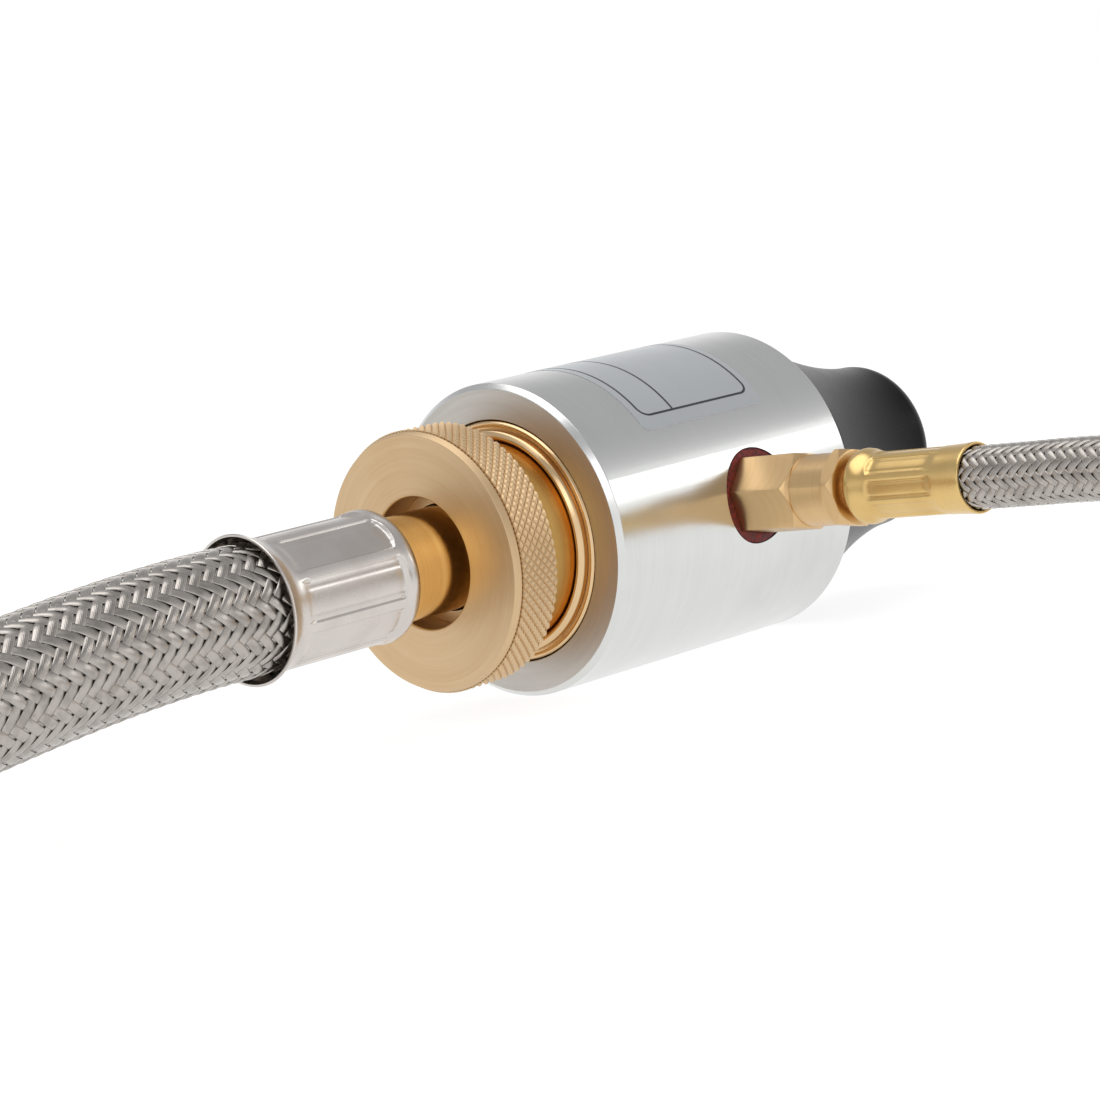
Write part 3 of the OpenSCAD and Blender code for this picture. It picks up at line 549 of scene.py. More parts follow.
@dataclass(frozen=True)
class BraidMetal:
    """Flat bundles of stainless wires, with fine lines along each bundle and painted shade in the
    grooves between the wires.
    """

    name: str = "braid_wire"
    slot: str = "braided_hose"
    colour: Colour = rgb(184, 178, 172)
    # stain: colour of random patches and of the painted shade in the grooves between the wires
    stain: Colour = rgb(122, 116, 110)
    roughness: float = 0.22
    wires: float = 7.0
    depth: float = 2.5e-5

    def material(self) -> bpy.types.Material:
        """Builds the material from the wires' place across their bundle."""
        t = ShaderTree(self.name)
        across = t.add("Attribute", attribute_name="across").outputs["Fac"]
        wave = t.math("SINE", t.math("MULTIPLY", across, self.wires * CIRCLE))
        height = t.spread(t.math("ABSOLUTE", wave), 0.0, 1.0)
        patches = t.noise(t.place(), 350.0, 2.0, 0.5)
        # painted shade: the grooves between the wires are pulled towards the stain colour, on top
        # of random patches
        tone = t.math(
            "ADD",
            t.math("MULTIPLY", t.math("SUBTRACT", 1.0, height), 0.25),
            t.math("MULTIPLY", t.ramp(patches, 0.4, 0.7), 0.4),
        )
        bump = t.add("Bump", {"Height": height, "Distance": self.depth, "Strength": 0.6})
        return t.surface(
            {
                "Base Color": t.blend(tone, self.colour, self.stain),
                "Metallic": 1.0,
                "Roughness": t.spread(patches, self.roughness * 0.8, self.roughness * 1.25),
                "Normal": bump.outputs[0],
            }
        )


@dataclass(frozen=True)
class Webbing:
    """Plain-woven black strap of hook-and-loop tape."""

    name: str = "strap_weave"
    slot: str = "strap_fabric"
    colour: Colour = rgb(42, 43, 46)
    # darker colour painted into the gaps between the threads as shade
    gap_shade_colour: Colour = rgb(16, 16, 18)
    threads: float = 1500.0

    def material(self) -> bpy.types.Material:
        """Builds the material from crossing threads, with painted shade in the gaps between them.
        """
        t = ShaderTree(self.name)
        parts = t.add("SeparateXYZ", {0: t.place()}).outputs
        turn = self.threads * CIRCLE
        diagonal = t.math("ADD", parts[0], parts[1])
        warp = t.math("SINE", t.math("MULTIPLY", diagonal, turn * 0.7))
        weft = t.math("SINE", t.math("MULTIPLY", parts[2], turn))
        weave = t.spread(t.math("MULTIPLY", warp, weft), 0.5, 1.0)
        fuzz = t.noise(t.place(), 4000.0, 3.0, 0.7)
        height = t.math("ADD", weave, t.math("MULTIPLY", fuzz, 0.4))
        bump = t.add("Bump", {"Height": height, "Distance": 1.0e-4, "Strength": 0.7})
        # painted shade: the low places of the weave, between the threads, take the darker gap
        # colour
        return t.surface(
            {
                "Base Color": t.blend(t.ramp(height, 0.4, 1.2), self.gap_shade_colour, self.colour),
                "Roughness": t.spread(fuzz, 0.7, 0.95),
                "Sheen Weight": 0.3,
                "Normal": bump.outputs[0],
            }
        )


Finish = TurnedMetal | Grained | BraidMetal | Webbing


class Finishes:
    """The finishes of the whole object, shared by its pieces."""

    aluminium = TurnedMetal(
        "satin_aluminium", "cover_aluminium", rgb(217, 218, 216), rgb(200, 201, 200), 0.2,
        rings=1500.0, depth=0.6e-6, grain=0.15, anisotropy=0.4,
    )
    # front face: a rougher faced finish whose colour is also a little darker than the side's as
    # painted shade
    faced_and_shaded = TurnedMetal(
        "shaded_faced_aluminium", "cover_aluminium", rgb(206, 203, 198), rgb(192, 188, 182), 0.5,
        rings=1200.0, depth=1.5e-6, grain=0.3, anisotropy=0.5,
    )
    nut = TurnedMetal(
        "brushed_brass", "knurled_brass", rgb(215, 187, 149), rgb(195, 161, 118), 0.42,
        rings=3000.0, depth=2.0e-6, grain=0.25, anisotropy=0.6,
    )
    collar = TurnedMetal(
        "collar_brass", "satin_brass", rgb(222, 192, 150), rgb(200, 164, 118), 0.2,
        rings=1500.0, depth=1.0e-6, grain=0.2, anisotropy=0.3,
    )
    # spigot in the recess behind the nut: polished brass whose deeper, more saturated gold is
    # partly painted reflection of light bounced between the brass parts
    spigot = TurnedMetal(
        "golden_brass_painted_reflection", "polished_brass", rgb(234, 190, 116), rgb(210, 158, 80), 0.28,
        rings=1800.0, depth=1.5e-6, grain=0.3, anisotropy=0.4,
    )
    # polished brass of the nipples, painted paler and brighter than the spigot's as painted light
    # that stands in for their highlights
    tube = TurnedMetal(
        "tube_brass_painted_light", "polished_brass", rgb(250, 220, 162), rgb(220, 172, 100), 0.19,
        rings=1600.0, depth=2.0e-6, grain=0.35, anisotropy=0.2,
    )
    adapter = TurnedMetal(
        "bar_brass", "satin_brass", rgb(218, 184, 136), rgb(196, 158, 108), 0.34,
        rings=1200.0, depth=1.0e-6, grain=0.2, anisotropy=0.3,
    )
    stainless = Grained.metal(
        "pressed_stainless", "crimped_stainless", rgb(208, 202, 197), rgb(184, 176, 169), 0.27,
        grain=2600.0, depth=6.0e-6,
    )
    yellow = Grained.metal(
        "pressed_brass", "yellow_brass", rgb(220, 188, 126), rgb(200, 164, 98), 0.28
    )
    zinc = Grained.metal(
        "cast_zinc", "zinc_casting", rgb(168, 170, 172), rgb(140, 143, 146), 0.45,
        grain=900.0, depth=2.0e-5,
    )
    sheet_steel = Grained.metal(
        "sheet_steel", "plain_steel", rgb(176, 176, 174), rgb(150, 149, 146), 0.32
    )
    wire_steel = Grained.metal(
        "spring_wire", "spring_steel", rgb(150, 151, 154), rgb(116, 116, 118), 0.3
    )
    gauze = Grained.metal(
        "sintered_filter", "filter_mesh", rgb(170, 168, 165), rgb(96, 94, 92), 0.5,
        grain=3500.0, depth=1.0e-4,
    )
    braid = BraidMetal()
    core = Grained.rubber("hose_core", "braided_hose", rgb(20, 19, 19), 0.6)
    seal = Grained.rubber("seal_rubber", "black_rubber")
    boot = Grained.rubber("boot_rubber", "boot_rubber", rgb(7, 7, 8), 0.26, shine=0.09)
    sealant = Grained(
        "dried_sealant", "red_sealant", rgb(78, 18, 16), rgb(142, 40, 34), (0.35, 0.8),
        (1400.0, 5.0, 0.65), (0.4, 0.62, 1.0), (1400.0, 5.0, 0.65), (2.0e-4, 0.8),
    )
    film = Grained.film("label_film", rgb(196, 200, 204))
    ink = Grained.film("label_ink", rgb(58, 60, 66), 0.4)
    nylon = Grained(
        "nylon", "white_nylon", rgb(226, 222, 208), toned(rgb(226, 222, 208), 0.85), (0.34, 0.48),
        (300.0, 3.0, 0.5), None, (300.0, 3.0, 0.5), (1.0e-5, 0.5),
    )
    webbing = Webbing()


def dress(piece: bpy.types.Object, *materials: bpy.types.Material) -> bpy.types.Object:
    """Gives a piece its materials, one for each of its material slots."""
    piece.data.materials.clear()
    for material in materials:
        piece.data.materials.append(material)
    return piece


def seat(piece: bpy.types.Object, body: str, slot: str, *nodes: str) -> bpy.types.Object:
    """Makes a piece ride on a body and stand for CAD nodes.

    Args:
        piece: The new piece.
        body: Name of the CAD body that carries it.
        slot: Material slot of the record; not used.
        nodes: CAD nodes that it stands for, if any.
    """
    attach(piece, body)
    if nodes:
        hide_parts(*nodes)
    LOG.info("%s rides on %s", piece.name, body)
    return piece


def finished(
    piece: bpy.types.Object, body: str, finish: Finish, *nodes: str,
    axis: Axis | None = None, suffix: str = "",
) -> bpy.types.Object:
    """Gives a piece one finish and seats it.

    Args:
        piece: The new piece.
        body: Name of the CAD body that carries it.
        finish: Its finish.
        nodes: CAD nodes that it stands for, if any.
        axis: Axis of a turned finish's rings.
        suffix: Ending of the material's name.
    """
    dress(piece, finish.material(axis, suffix) if axis else finish.material())
    return seat(piece, body, finish.slot, *nodes)


# ---- hoses ----


# place across a bundle and height over its middle, for the points of its crowned section
BUNDLE_SECTION = ((-1.0, -1.0), (-0.9, 0.8), (0.0, 2.1), (0.9, 0.8), (1.0, -1.0))
CROWN_FACES = (1, 2)
CORE_SIDES = 24


class Lay(Enum):
    """Hand of a braid's bundles."""

    RIGHT = 1
    LEFT = -1


@dataclass(frozen=True)
class Braid:
    """A tube of flat wire bundles that pass over two and under two of the other hand.

    Attributes:
        carriers: Bundles of each hand.
        lay: Length of one turn of a bundle, in metres.
        width: Width of a bundle.
        thickness: Thickness of a bundle.
        wave: Height of a bundle's wave above and below its middle.
        radius: Middle radius of the bundles.
        core: Radius of the dark tube inside.
    """

    carriers: int
    lay: float
    width: float
    thickness: float
    wave: float
    radius: float
    core: float


class Centreline:
    """A smooth line with a frame that doesn't twist, known by the length along it."""

    def __init__(self, points: Grid) -> None:
        """Takes closely spaced points, in metres, one row each."""
        steps = np.linalg.norm(np.diff(points, axis=0), axis=1)
        keep = np.concatenate([[True], steps > 1e-9])
        self.points = points[keep]
        steps = np.linalg.norm(np.diff(self.points, axis=0), axis=1)
        self.lengths = np.concatenate([[0.0], np.cumsum(steps)])
        self.length = float(self.lengths[-1])
        tangents = np.gradient(self.points, self.lengths, axis=0)
        self.tangents = tangents / np.linalg.norm(tangents, axis=1, keepdims=True)
        self.across = self.carried_frame()

    def carried_frame(self) -> Grid:
        """Returns a direction across the line at each point, carried along without twist."""
        first = np.cross(self.tangents[0], [0.0, 0.0, 1.0])
        across = [first / np.linalg.norm(first)]
        for tangent in self.tangents[1:]:
            step = across[-1] - tangent * (across[-1] @ tangent)
            across.append(step / np.linalg.norm(step))
        return np.array(across)

    def at(self, lengths: Grid) -> tuple[Grid, Grid, Grid]:
        """Returns the points and the two directions across the line at given lengths."""

        def read(table: Grid) -> Grid:
            """Returns a table of three columns read at the lengths."""
            return np.stack([np.interp(lengths, self.lengths, table[:, k]) for k in range(3)], -1)

        middle, tangent, across = read(self.points), read(self.tangents), read(self.across)
        across /= np.linalg.norm(across, axis=1, keepdims=True)
        other = np.cross(tangent, across)
        return middle, across, other / np.linalg.norm(other, axis=1, keepdims=True)

    def wrap(self, lengths: Grid, radii: Grid, angles: Grid) -> Grid:
        """Returns points at given lengths, distances from the line and angles round it."""
        middle, across, other = self.at(lengths)
        return middle + radii[:, None] * (
            np.cos(angles)[:, None] * across + np.sin(angles)[:, None] * other
        )


def smooth_route(route: Grid, spacing: float) -> Grid:
    """Returns a smooth curve through route points, with points about a spacing apart."""
    extended = np.vstack([2 * route[0] - route[1], route, 2 * route[-1] - route[-2]])
    points: list[Grid] = []
    for i in range(1, len(extended) - 2):
        p0, p1, p2, p3 = extended[i - 1 : i + 3]
        span = np.linalg.norm(p2 - p1)
        m1 = (p2 - p0) * span / (span + np.linalg.norm(p1 - p0))
        m2 = (p3 - p1) * span / (span + np.linalg.norm(p3 - p2))
        n = max(2, round(span / spacing))
        for k in range(n):
            t = k / n
            points.append(
                (2 * t**3 - 3 * t**2 + 1) * p1
                + (t**3 - 2 * t**2 + t) * m1
                + (3 * t**2 - 2 * t**3) * p2
                + (t**3 - t**2) * m2
            )
    points.append(extended[-2])
    return np.array(points)


def rise(value: Grid | float, start: float, end: float) -> Grid | float:
    """Returns a smooth step from 0 at start to 1 at end."""
    share = np.clip((value - start) / (end - start), 0, 1)
    return share * share * (3 - 2 * share)


@dataclass(frozen=True)
class CoilPlan:
    """How the unseen length of a hose is wound, as in the CAD part.

    Attributes:
        heading: Direction of the hose as it reaches the coil, in degrees from +X.
        radius: Radius of the turns at the middle of the hose, in metres.
        climb: Angles of the turn between which the hose climbs onto itself.
        turn: Angle that the coil winds.
        pitch: Rise from a turn to the one on it, in hose diameters.
        strap: Room that the strap takes between the turns, in metres.
        strap_at: Angle at which the strap's first edge lies.
    """

    heading: float
    radius: float
    climb: tuple[float, float]
    turn: float
    pitch: float = 1.09
    strap: float = 0.001
    strap_at: tuple[float, float] = (30.0, 45.0)

    def along(self) -> Grid:
        """Returns the direction in which the hose reaches the coil."""
        a = math.radians(self.heading)
        return np.array([round(math.cos(a), 9), round(math.sin(a), 9), 0.0])

    def loop(self, start: Grid, diameter: float, angles: Grid) -> Grid:
        """Returns the points of the turns at angles in degrees.

        Args:
            start: Where the coil starts, in metres.
            diameter: Diameter of the hose.
            angles: Degrees from the start of the turns.
        """
        along = self.along()
        side = np.array([-along[1], along[0], 0.0])
        a = np.radians(angles)[:, None]
        lift = self.pitch * diameter * rise(angles, *self.climb)
        lift = lift + self.strap * rise(angles, 0, self.strap_at[0])
        ring = start + diameter * along + side * self.radius
        ring = ring + self.radius * (along * np.sin(a) - side * np.cos(a))
        return ring + lift[:, None] * np.array([0.0, 0.0, 1.0])


@dataclass
class Hose:
    """A braided hose with its crimped ends left out.

    Attributes:
        name: Name that its pieces start with.
        diameter: Diameter over the braid, in metres.
        fall: Points of the hose where it isn't coiled, as distance and height, in metres.
        start: Where the distances are counted from.
        plan: How the rest is wound.
        braid: Its braid.
        grip: Length that lies inside each ferrule.
        squeezed: Radius over the braid inside a ferrule.
        near: Length of the stretch with the finer braid.
        nodes: CAD nodes that it stands for.
    """

    name: str
    diameter: float
    fall: list[tuple[float, float]]
    start: Point
    plan: CoilPlan
    braid: Braid
    grip: float
    squeezed: float
    near: float
    nodes: tuple[str, ...]
    route: Grid = field(init=False)
    end: Grid = field(init=False)
    line: Centreline = field(init=False)

    def __post_init__(self) -> None:
        """Works out the hose's line from its route."""
        along = self.plan.along()
        origin = np.array(self.start) * np.array([1.0, 1.0, 0.0])
        self.route = np.array([origin + d * along + [0.0, 0.0, z] for d, z in self.fall])
        spacing = self.diameter / 8
        angles = np.linspace(0, self.plan.turn, round(self.plan.turn / 3) + 1)
        loop = self.plan.loop(self.route[-1], self.diameter, angles)
        out = math.radians(self.plan.heading + self.plan.turn)
        self.end = loop[-1] + self.diameter * np.array([math.cos(out), math.sin(out), 0.0])
        free = smooth_route(np.vstack([self.route, loop[:1]]), spacing)
        self.line = Centreline(np.vstack([free, loop[1:], self.end[None, :]]))

    def end_axis(self) -> Axis:
        """Returns the axis of the fittings on the far end, with station 0 at the hose's mouth."""
        return level_axis(tuple(self.end), self.plan.heading + self.plan.turn)

    def extended(self) -> Centreline:
        """Returns the line with the straight stretches inside the two ferrules."""
        first = self.line.points[0] - self.grip * self.line.tangents[0]
        last = self.line.points[-1] + self.grip * self.line.tangents[-1]
        steps = np.linspace(0, 1, 6)[:, None]
        head = first + (self.line.points[0] - first) * steps
        tail = self.line.points[-1] + (last - self.line.points[-1]) * steps
        return Centreline(np.vstack([head[:-1], self.line.points, tail[1:]]))

    def radius_at(self, lengths: Grid, total: float, full: float) -> Grid:
        """Returns a radius that shrinks inside the ferrules.

        Args:
            lengths: Lengths along the extended line.
            total: Its whole length.
            full: Radius outside the ferrules.
        """
        inside = self.grip - np.minimum(lengths, total - lengths)
        ratio = self.squeezed / (self.diameter / 2)
        return full * (1 - (1 - ratio) * rise(inside, 0.15 * self.grip, 0.75 * self.grip))

    def stations(self, total: float) -> Grid:
        """Returns the lengths at which a bundle gets points.

        Near the ferrule they lie on each crossing and midway to the next. Further on they
        lie midway only, which is enough to carry a bundle over and under.
        """
        cell = self.braid.lay / (2 * self.braid.carriers)
        cells = math.ceil((self.grip + self.near) / cell)
        fine = np.arange(1, 2 * cells) * cell / 2
        coarse = np.arange(cells + 0.5, total / cell - 0.5) * cell
        return np.concatenate([[0.0], fine, coarse, [total]])

    def bundle(self, line: Centreline, number: int, hand: Lay) -> tuple[Grid, Grid]:
        """Returns one bundle's points and their places across it.

        Args:
            line: The extended line.
            number: Number of the bundle among those of its hand.
            hand: Whether it winds to the right or to the left.

        Returns:
            Points in metres, one for each corner of the section at each station, and the
            place of each across the bundle.
        """
        b = self.braid
        lengths = self.stations(line.length)
        turns = lengths / b.lay
        angle = CIRCLE * (number / b.carriers + hand.value * turns)
        phase = 2 * number + hand.value * 2 * b.carriers * turns
        height = hand.value * np.cos((phase - 0.5) * math.pi / 2)
        height = height * (1.5 - 0.5 * height**2)
        middle = self.radius_at(lengths, line.length, b.radius) + b.wave * height
        slope = math.atan2(CIRCLE * b.radius, b.lay)
        points = []
        for place, side in BUNDLE_SECTION:
            back = -hand.value * place * b.width / 2 * math.sin(slope)
            turn = place * b.width / 2 * math.cos(slope) / b.radius
            radii = middle + side * b.thickness / 2
            points.append(line.wrap(lengths + back, radii, angle + turn))
        places = np.array([place for place, _ in BUNDLE_SECTION])
        return np.stack(points, axis=1).reshape(-1, 3), np.tile(places, len(lengths))

    def core(self, line: Centreline) -> tuple[Grid, Grid]:
        """Returns the points of the dark tube under the braid and their places across."""
        stations = np.arange(0, line.length, self.diameter / 5)
        radii = self.radius_at(stations, line.length, self.braid.core)
        turn = np.tile(np.linspace(0, CIRCLE, CORE_SIDES, endpoint=False), len(stations))
        points = line.wrap(np.repeat(stations, CORE_SIDES), np.repeat(radii, CORE_SIDES), turn)
        return points, np.zeros(len(turn))

    def build(self) -> bpy.types.Object:
        """Builds the braid and the dark tube under it as one mesh on the regulator."""
        line = self.extended()
        corners = len(BUNDLE_SECTION)
        tubes = [
            (*self.bundle(line, number, hand), corners)
            for hand in Lay
            for number in range(self.braid.carriers)
        ]
        tubes.append((*self.core(line), CORE_SIDES))
        starts = np.cumsum([0] + [len(points) for points, _, _ in tubes])
        faces = [
            ring_faces(len(points) // sides, sides, closed=False) + start
            for (points, _, sides), start in zip(tubes, starts)
        ]
        mesh = quad_mesh(self.name, np.vstack([points for points, _, _ in tubes]), np.vstack(faces))
        across = np.concatenate([places for _, places, _ in tubes]).astype(np.float32) / 4
        mesh.attributes.new("across", "FLOAT", "POINT").data.foreach_set("value", across)
        number = np.arange(len(mesh.polygons))
        is_core = number >= sum(len(f) for f in faces[:-1])
        crowned = np.isin(number % corners, CROWN_FACES)
        mesh.polygons.foreach_set("use_smooth", is_core | crowned)
        piece = link_object(self.name, mesh)
        dress(piece, Finishes.braid.material(), Finishes.core.material())
        mesh.polygons.foreach_set("material_index", is_core.astype(np.int32))
        return seat(piece, "regulator", Finishes.braid.slot, *self.nodes)

    def declare(self, piece: bpy.types.Object, with_pieces: Sequence) -> None:
        """Args:
            piece: The braided mesh; not used.
            with_pieces: Objects and CAD nodes that are carried by the hose; not used.
        """


def quad_mesh(name: str, points: Grid, quads: Grid) -> bpy.types.Mesh:
    """Builds a large mesh of four-sided faces at once."""
    mesh = bpy.data.meshes.new(name)
    mesh.vertices.add(len(points))
    mesh.vertices.foreach_set("co", points.astype(np.float32).ravel())
    mesh.loops.add(quads.size)
    mesh.loops.foreach_set("vertex_index", quads.astype(np.int32).ravel())
    mesh.polygons.add(len(quads))
    mesh.polygons.foreach_set("loop_start", np.arange(0, quads.size, 4, dtype=np.int32))
    mesh.update(calc_edges=True)
    mesh.validate()
    return mesh


@dataclass(frozen=True)
class Strap:
    """A strap that holds two turns of a coil together.

    Attributes:
        name: Name of the piece.
        node: CAD node that it stands for.
        width: Width along the hose, in metres.
        thickness: Thickness of the strap.
        gap: Air between the strap and the hose.
    """

    name: str
    node: str
    width: float = 0.012
    thickness: float = 0.0008
    gap: float = 0.0002

    def build(self, hose: Hose) -> bpy.types.Object:
        """Builds the strap round the first two turns of a hose's coil."""
        plan = hose.plan
        edges = plan.loop(hose.route[-1], hose.diameter, np.array(plan.strap_at))
        axis = level_axis(tuple(edges.mean(axis=0)), plan.heading + sum(plan.strap_at) / 2)
        path = self.loop_path(hose.diameter / 2 + self.gap, plan.pitch * hose.diameter)
        half, thick = self.width / 2, self.thickness
        section = [
            (0.0, -half), (thick * 0.8, -half), (thick, -half * 0.94),
            (thick, half * 0.94), (thick * 0.8, half), (0.0, half),
        ]
        points = [
            (*(place + normal * out), along) for place, normal in path for out, along in section
        ]
        faces = ring_faces(len(path), len(section))
        mesh = clean_mesh(self.name, axis.place(np.array(points) / MM), faces)
        piece = make_object(self.name, mesh, 50.0)
        return finished(piece, "regulator", Finishes.webbing, self.node)

    def loop_path(self, inner: float, lift: float) -> list[tuple[Grid, Grid]]:
        """Returns places and outward directions round two hoses that lie on each other."""
        path = []
        for centre, first in ((0.0, -90.0), (-lift, 90.0)):
            for a in np.radians(first + np.linspace(0, 180, 19)):
                normal = np.array([math.cos(a), math.sin(a)])
                path.append((np.array([centre, 0.0]) + inner * normal, normal))
        return path


# ---- crimped ends ----


@dataclass(frozen=True)
class Ferrule:
    """A crimped ferrule: a domed nose, pressed flats and a skirt that flares off the hose.

    All sizes are in millimetres. Station 0 is the nose and the last is the skirt's mouth.

    Attributes:
        length: Whole length.
        hole: Radius of the hole in the nose.
        dome: Radius of the dome.
        body: Radius of the crimped body.
        skirt: Radius of the skirt at its mouth.
        inner: Radius inside the body.
        flats: Number of pressed flats.
        press: Depth of the flats in their middle.
        flat_start: Station where the flats start.
        flat_end: Station where the flats end.
        dome_round: Rounding of the dome.
        bulge: How far the middle of a flat reaches towards the nose.
        ridge: Width of the ridge between two flats.
        step: Width of the wall round a flat.
        line_at: Where a fine line runs along a flat, as a share of its half.
        wall: Thickness of the skirt's mouth.
        web: Thickness of the nose.
    """

    length: float
    hole: float
    dome: float
    body: float
    skirt: float
    inner: float
    flats: int
    press: float
    flat_start: float
    flat_end: float
    dome_round: float = 2.2
    bulge: float = 0.9
    ridge: float = 1.7
    step: float = 0.35
    line_at: float = 0.6
    wall: float = 0.55
    web: float = 2.6

    def outline(self) -> Grid:
        """Returns the outline before the flats are pressed."""
        flare = self.length - self.flat_end
        points: list[tuple[float, ...]] = [(self.hole, 0.3, 0.0), (self.hole + 0.3, 0.0, 0.0)]
        r = self.dome_round
        points += arc((self.dome - r, r), r, -90, 0, 9)
        points += [
            (self.dome - (self.dome - self.body) * t * t * (3 - 2 * t),
             r + (self.flat_start - 0.3 - r) * t, 0.0)
            for t in (0.25, 0.5, 0.75)
        ]
        points += [
            (self.body, z, 0.0)
            for z in np.concatenate([
                self.flat_start + np.array([-0.3, -0.05, 0.15, 0.35, 0.6, 0.95, 1.4, 2.0, 2.8]),
                np.linspace(self.flat_start + 4, self.flat_end - 3.5, 7),
                self.flat_end + np.array([-2.7, -2.0, -1.3, -0.6]),
            ])
        ]
        points += [
            (self.body + (self.skirt - self.body) * t**1.6, self.flat_end + (flare - 0.3) * t, 0.0)
            for t in (0.0, 0.2, 0.4, 0.6, 0.8)
        ]
        points += [
            (self.skirt, self.length - 0.3, 0.1),
            (self.skirt - 0.12, self.length, 0.1),
            (self.skirt - self.wall, self.length, 0.1),
            (self.skirt - self.wall - 0.25, self.length - flare * 0.4, 0.3),
            (self.inner, self.flat_end - 0.5, 0.3),
            (self.inner, self.web, 0.1),
            (self.hole, self.web, 0.1),
        ]
        return rounded(points, 0.1, 3)

    def panel(self) -> float:
        """Returns half the angle of a pressed panel, in radians."""
        return math.pi / self.flats - self.ridge / 2 / self.body

    def angles(self) -> Grid:
        """Returns angles that lie on the edges of the panels and of the lines in them."""
        half, panel = 180 / self.flats, math.degrees(self.panel())
        step = math.degrees(self.step / self.body)
        line = [panel * self.line_at + step * s for s in (-0.75, 0.0, 0.75)]
        inner = [panel * 0.22, panel * 0.42] + line + [panel * 0.8]
        inner += [panel - step, panel - step / 2, panel]
        places = inner + [(panel + half) / 2]
        return side_angles(self.flats, [-o for o in places[::-1]] + [0.0] + places + [half])

    def press_flats(self, radii: Grid, stations: Grid, angles: Grid) -> tuple[Grid, Grid]:
        """Presses the panels into the outline, with a stepped wall all round each."""
        off = np.abs(from_side(angles, self.flats)) / self.panel()
        crown = np.clip(1 - off**2, 0, 1)
        outer = radii > self.inner + 0.35
        outer &= (stations > self.dome_round * 0.5) & (stations < self.flat_end + 0.5)
        bulge = self.bulge * crown
        reach = self.flat_start - 0.3 - self.dome_round * 0.5
        near = np.clip((stations - self.dome_round * 0.5) / reach, 0, 1)
        far = np.clip((self.flat_start + 5 - stations) / 4, 0, 1)
        moved = np.where(outer, stations - bulge * np.minimum(near, far), stations)
        side = self.step / self.body / self.panel()
        share = rise(1 - off, 0.0, side)
        share = share * rise(stations, self.flat_start - 0.1, self.flat_start + 0.55)
        share = share * (1 - rise(stations, self.flat_end - 2.4, self.flat_end - 0.1))
        depth = self.press * (0.55 + 0.45 * crown)
        depth = depth + 0.09 * np.exp(-(((off - self.line_at) / (0.7 * side)) ** 2))
        depth = depth + 0.12 * crown * np.exp(-(((stations - self.flat_start - 1.0) / 0.6) ** 2))
        return np.where(outer, radii - depth * share, radii), moved

    def build(self, name: str, axis: Axis, finish: Grained, node: str) -> bpy.types.Object:
        """Builds the ferrule on an axis whose station 0 is its nose."""
        piece = shaped(name, axis, self.outline(), self.angles(), self.press_flats, 38.0)
        return finished(piece, "regulator", finish, node)


def turned_about(axis: Axis, station: float) -> Axis:
    """Returns an axis that starts at a station of another and points back along it."""
    return Axis(
        tuple(axis.at(station)),
        axis.x,
        tuple(-v for v in axis.y),
        tuple(-v for v in axis.z),
    )


def moved_along(axis: Axis, station: float) -> Axis:
    """Returns an axis that starts at a station of another."""
    return Axis(tuple(axis.at(station)), axis.x, axis.y, axis.z)


THREAD_PITCH = 1.81
OUTLET_FERRULE = Ferrule(33.0, 9.9, 12.55, 12.35, 13.8, 11.15, 8, 0.55, 4.6, 29.0, 2.6)
INLET_FERRULE = Ferrule(
    27.8, 4.65, 7.1, 6.3, 6.55, 5.15, 8, 0.36, 6.0, 21.7, 2.6, bulge=0.4, ridge=0.9, step=0.25
)


@dataclass(frozen=True)
class ThreadedBand:
    """A stretch of thread on a turned outline.

    Attributes:
        start: Station of its first turn, in millimetres.
        end: Station of its last turn.
        depth: Depth of the thread.
        radius: Radius of its crests or, for a nut, of its roots.
        hand: 1 for a right-hand thread, -1 for a left-hand one.
        pitch: Distance from turn to turn.
    """

    start: float
    end: float
    depth: float
    radius: float
    hand: int = 1
    pitch: float = THREAD_PITCH

    def stations(self) -> Grid:
        """Returns the stations of the thread's points, eight to a turn."""
        return np.arange(self.start, self.end + 1e-6, self.pitch / 8)

    def cut(self, radii: Grid, stations: Grid, angles: Grid) -> tuple[Grid, Grid]:
        """Cuts the thread into the points that lie on its band."""
        on_band = (np.abs(radii - self.radius) < 1e-4) & (stations > self.start - 1e-6)
        on_band &= stations < self.end + 1e-6
        turns = (stations - self.start) / self.pitch
        wave = 0.5 - 0.5 * np.cos(CIRCLE * turns - self.hand * angles)
        fade = rise(stations, self.start, self.start + self.pitch)
        fade = fade * (1 - rise(stations, self.end - self.pitch, self.end))
        return np.where(on_band, radii - self.depth * wave * fade, radii), stations


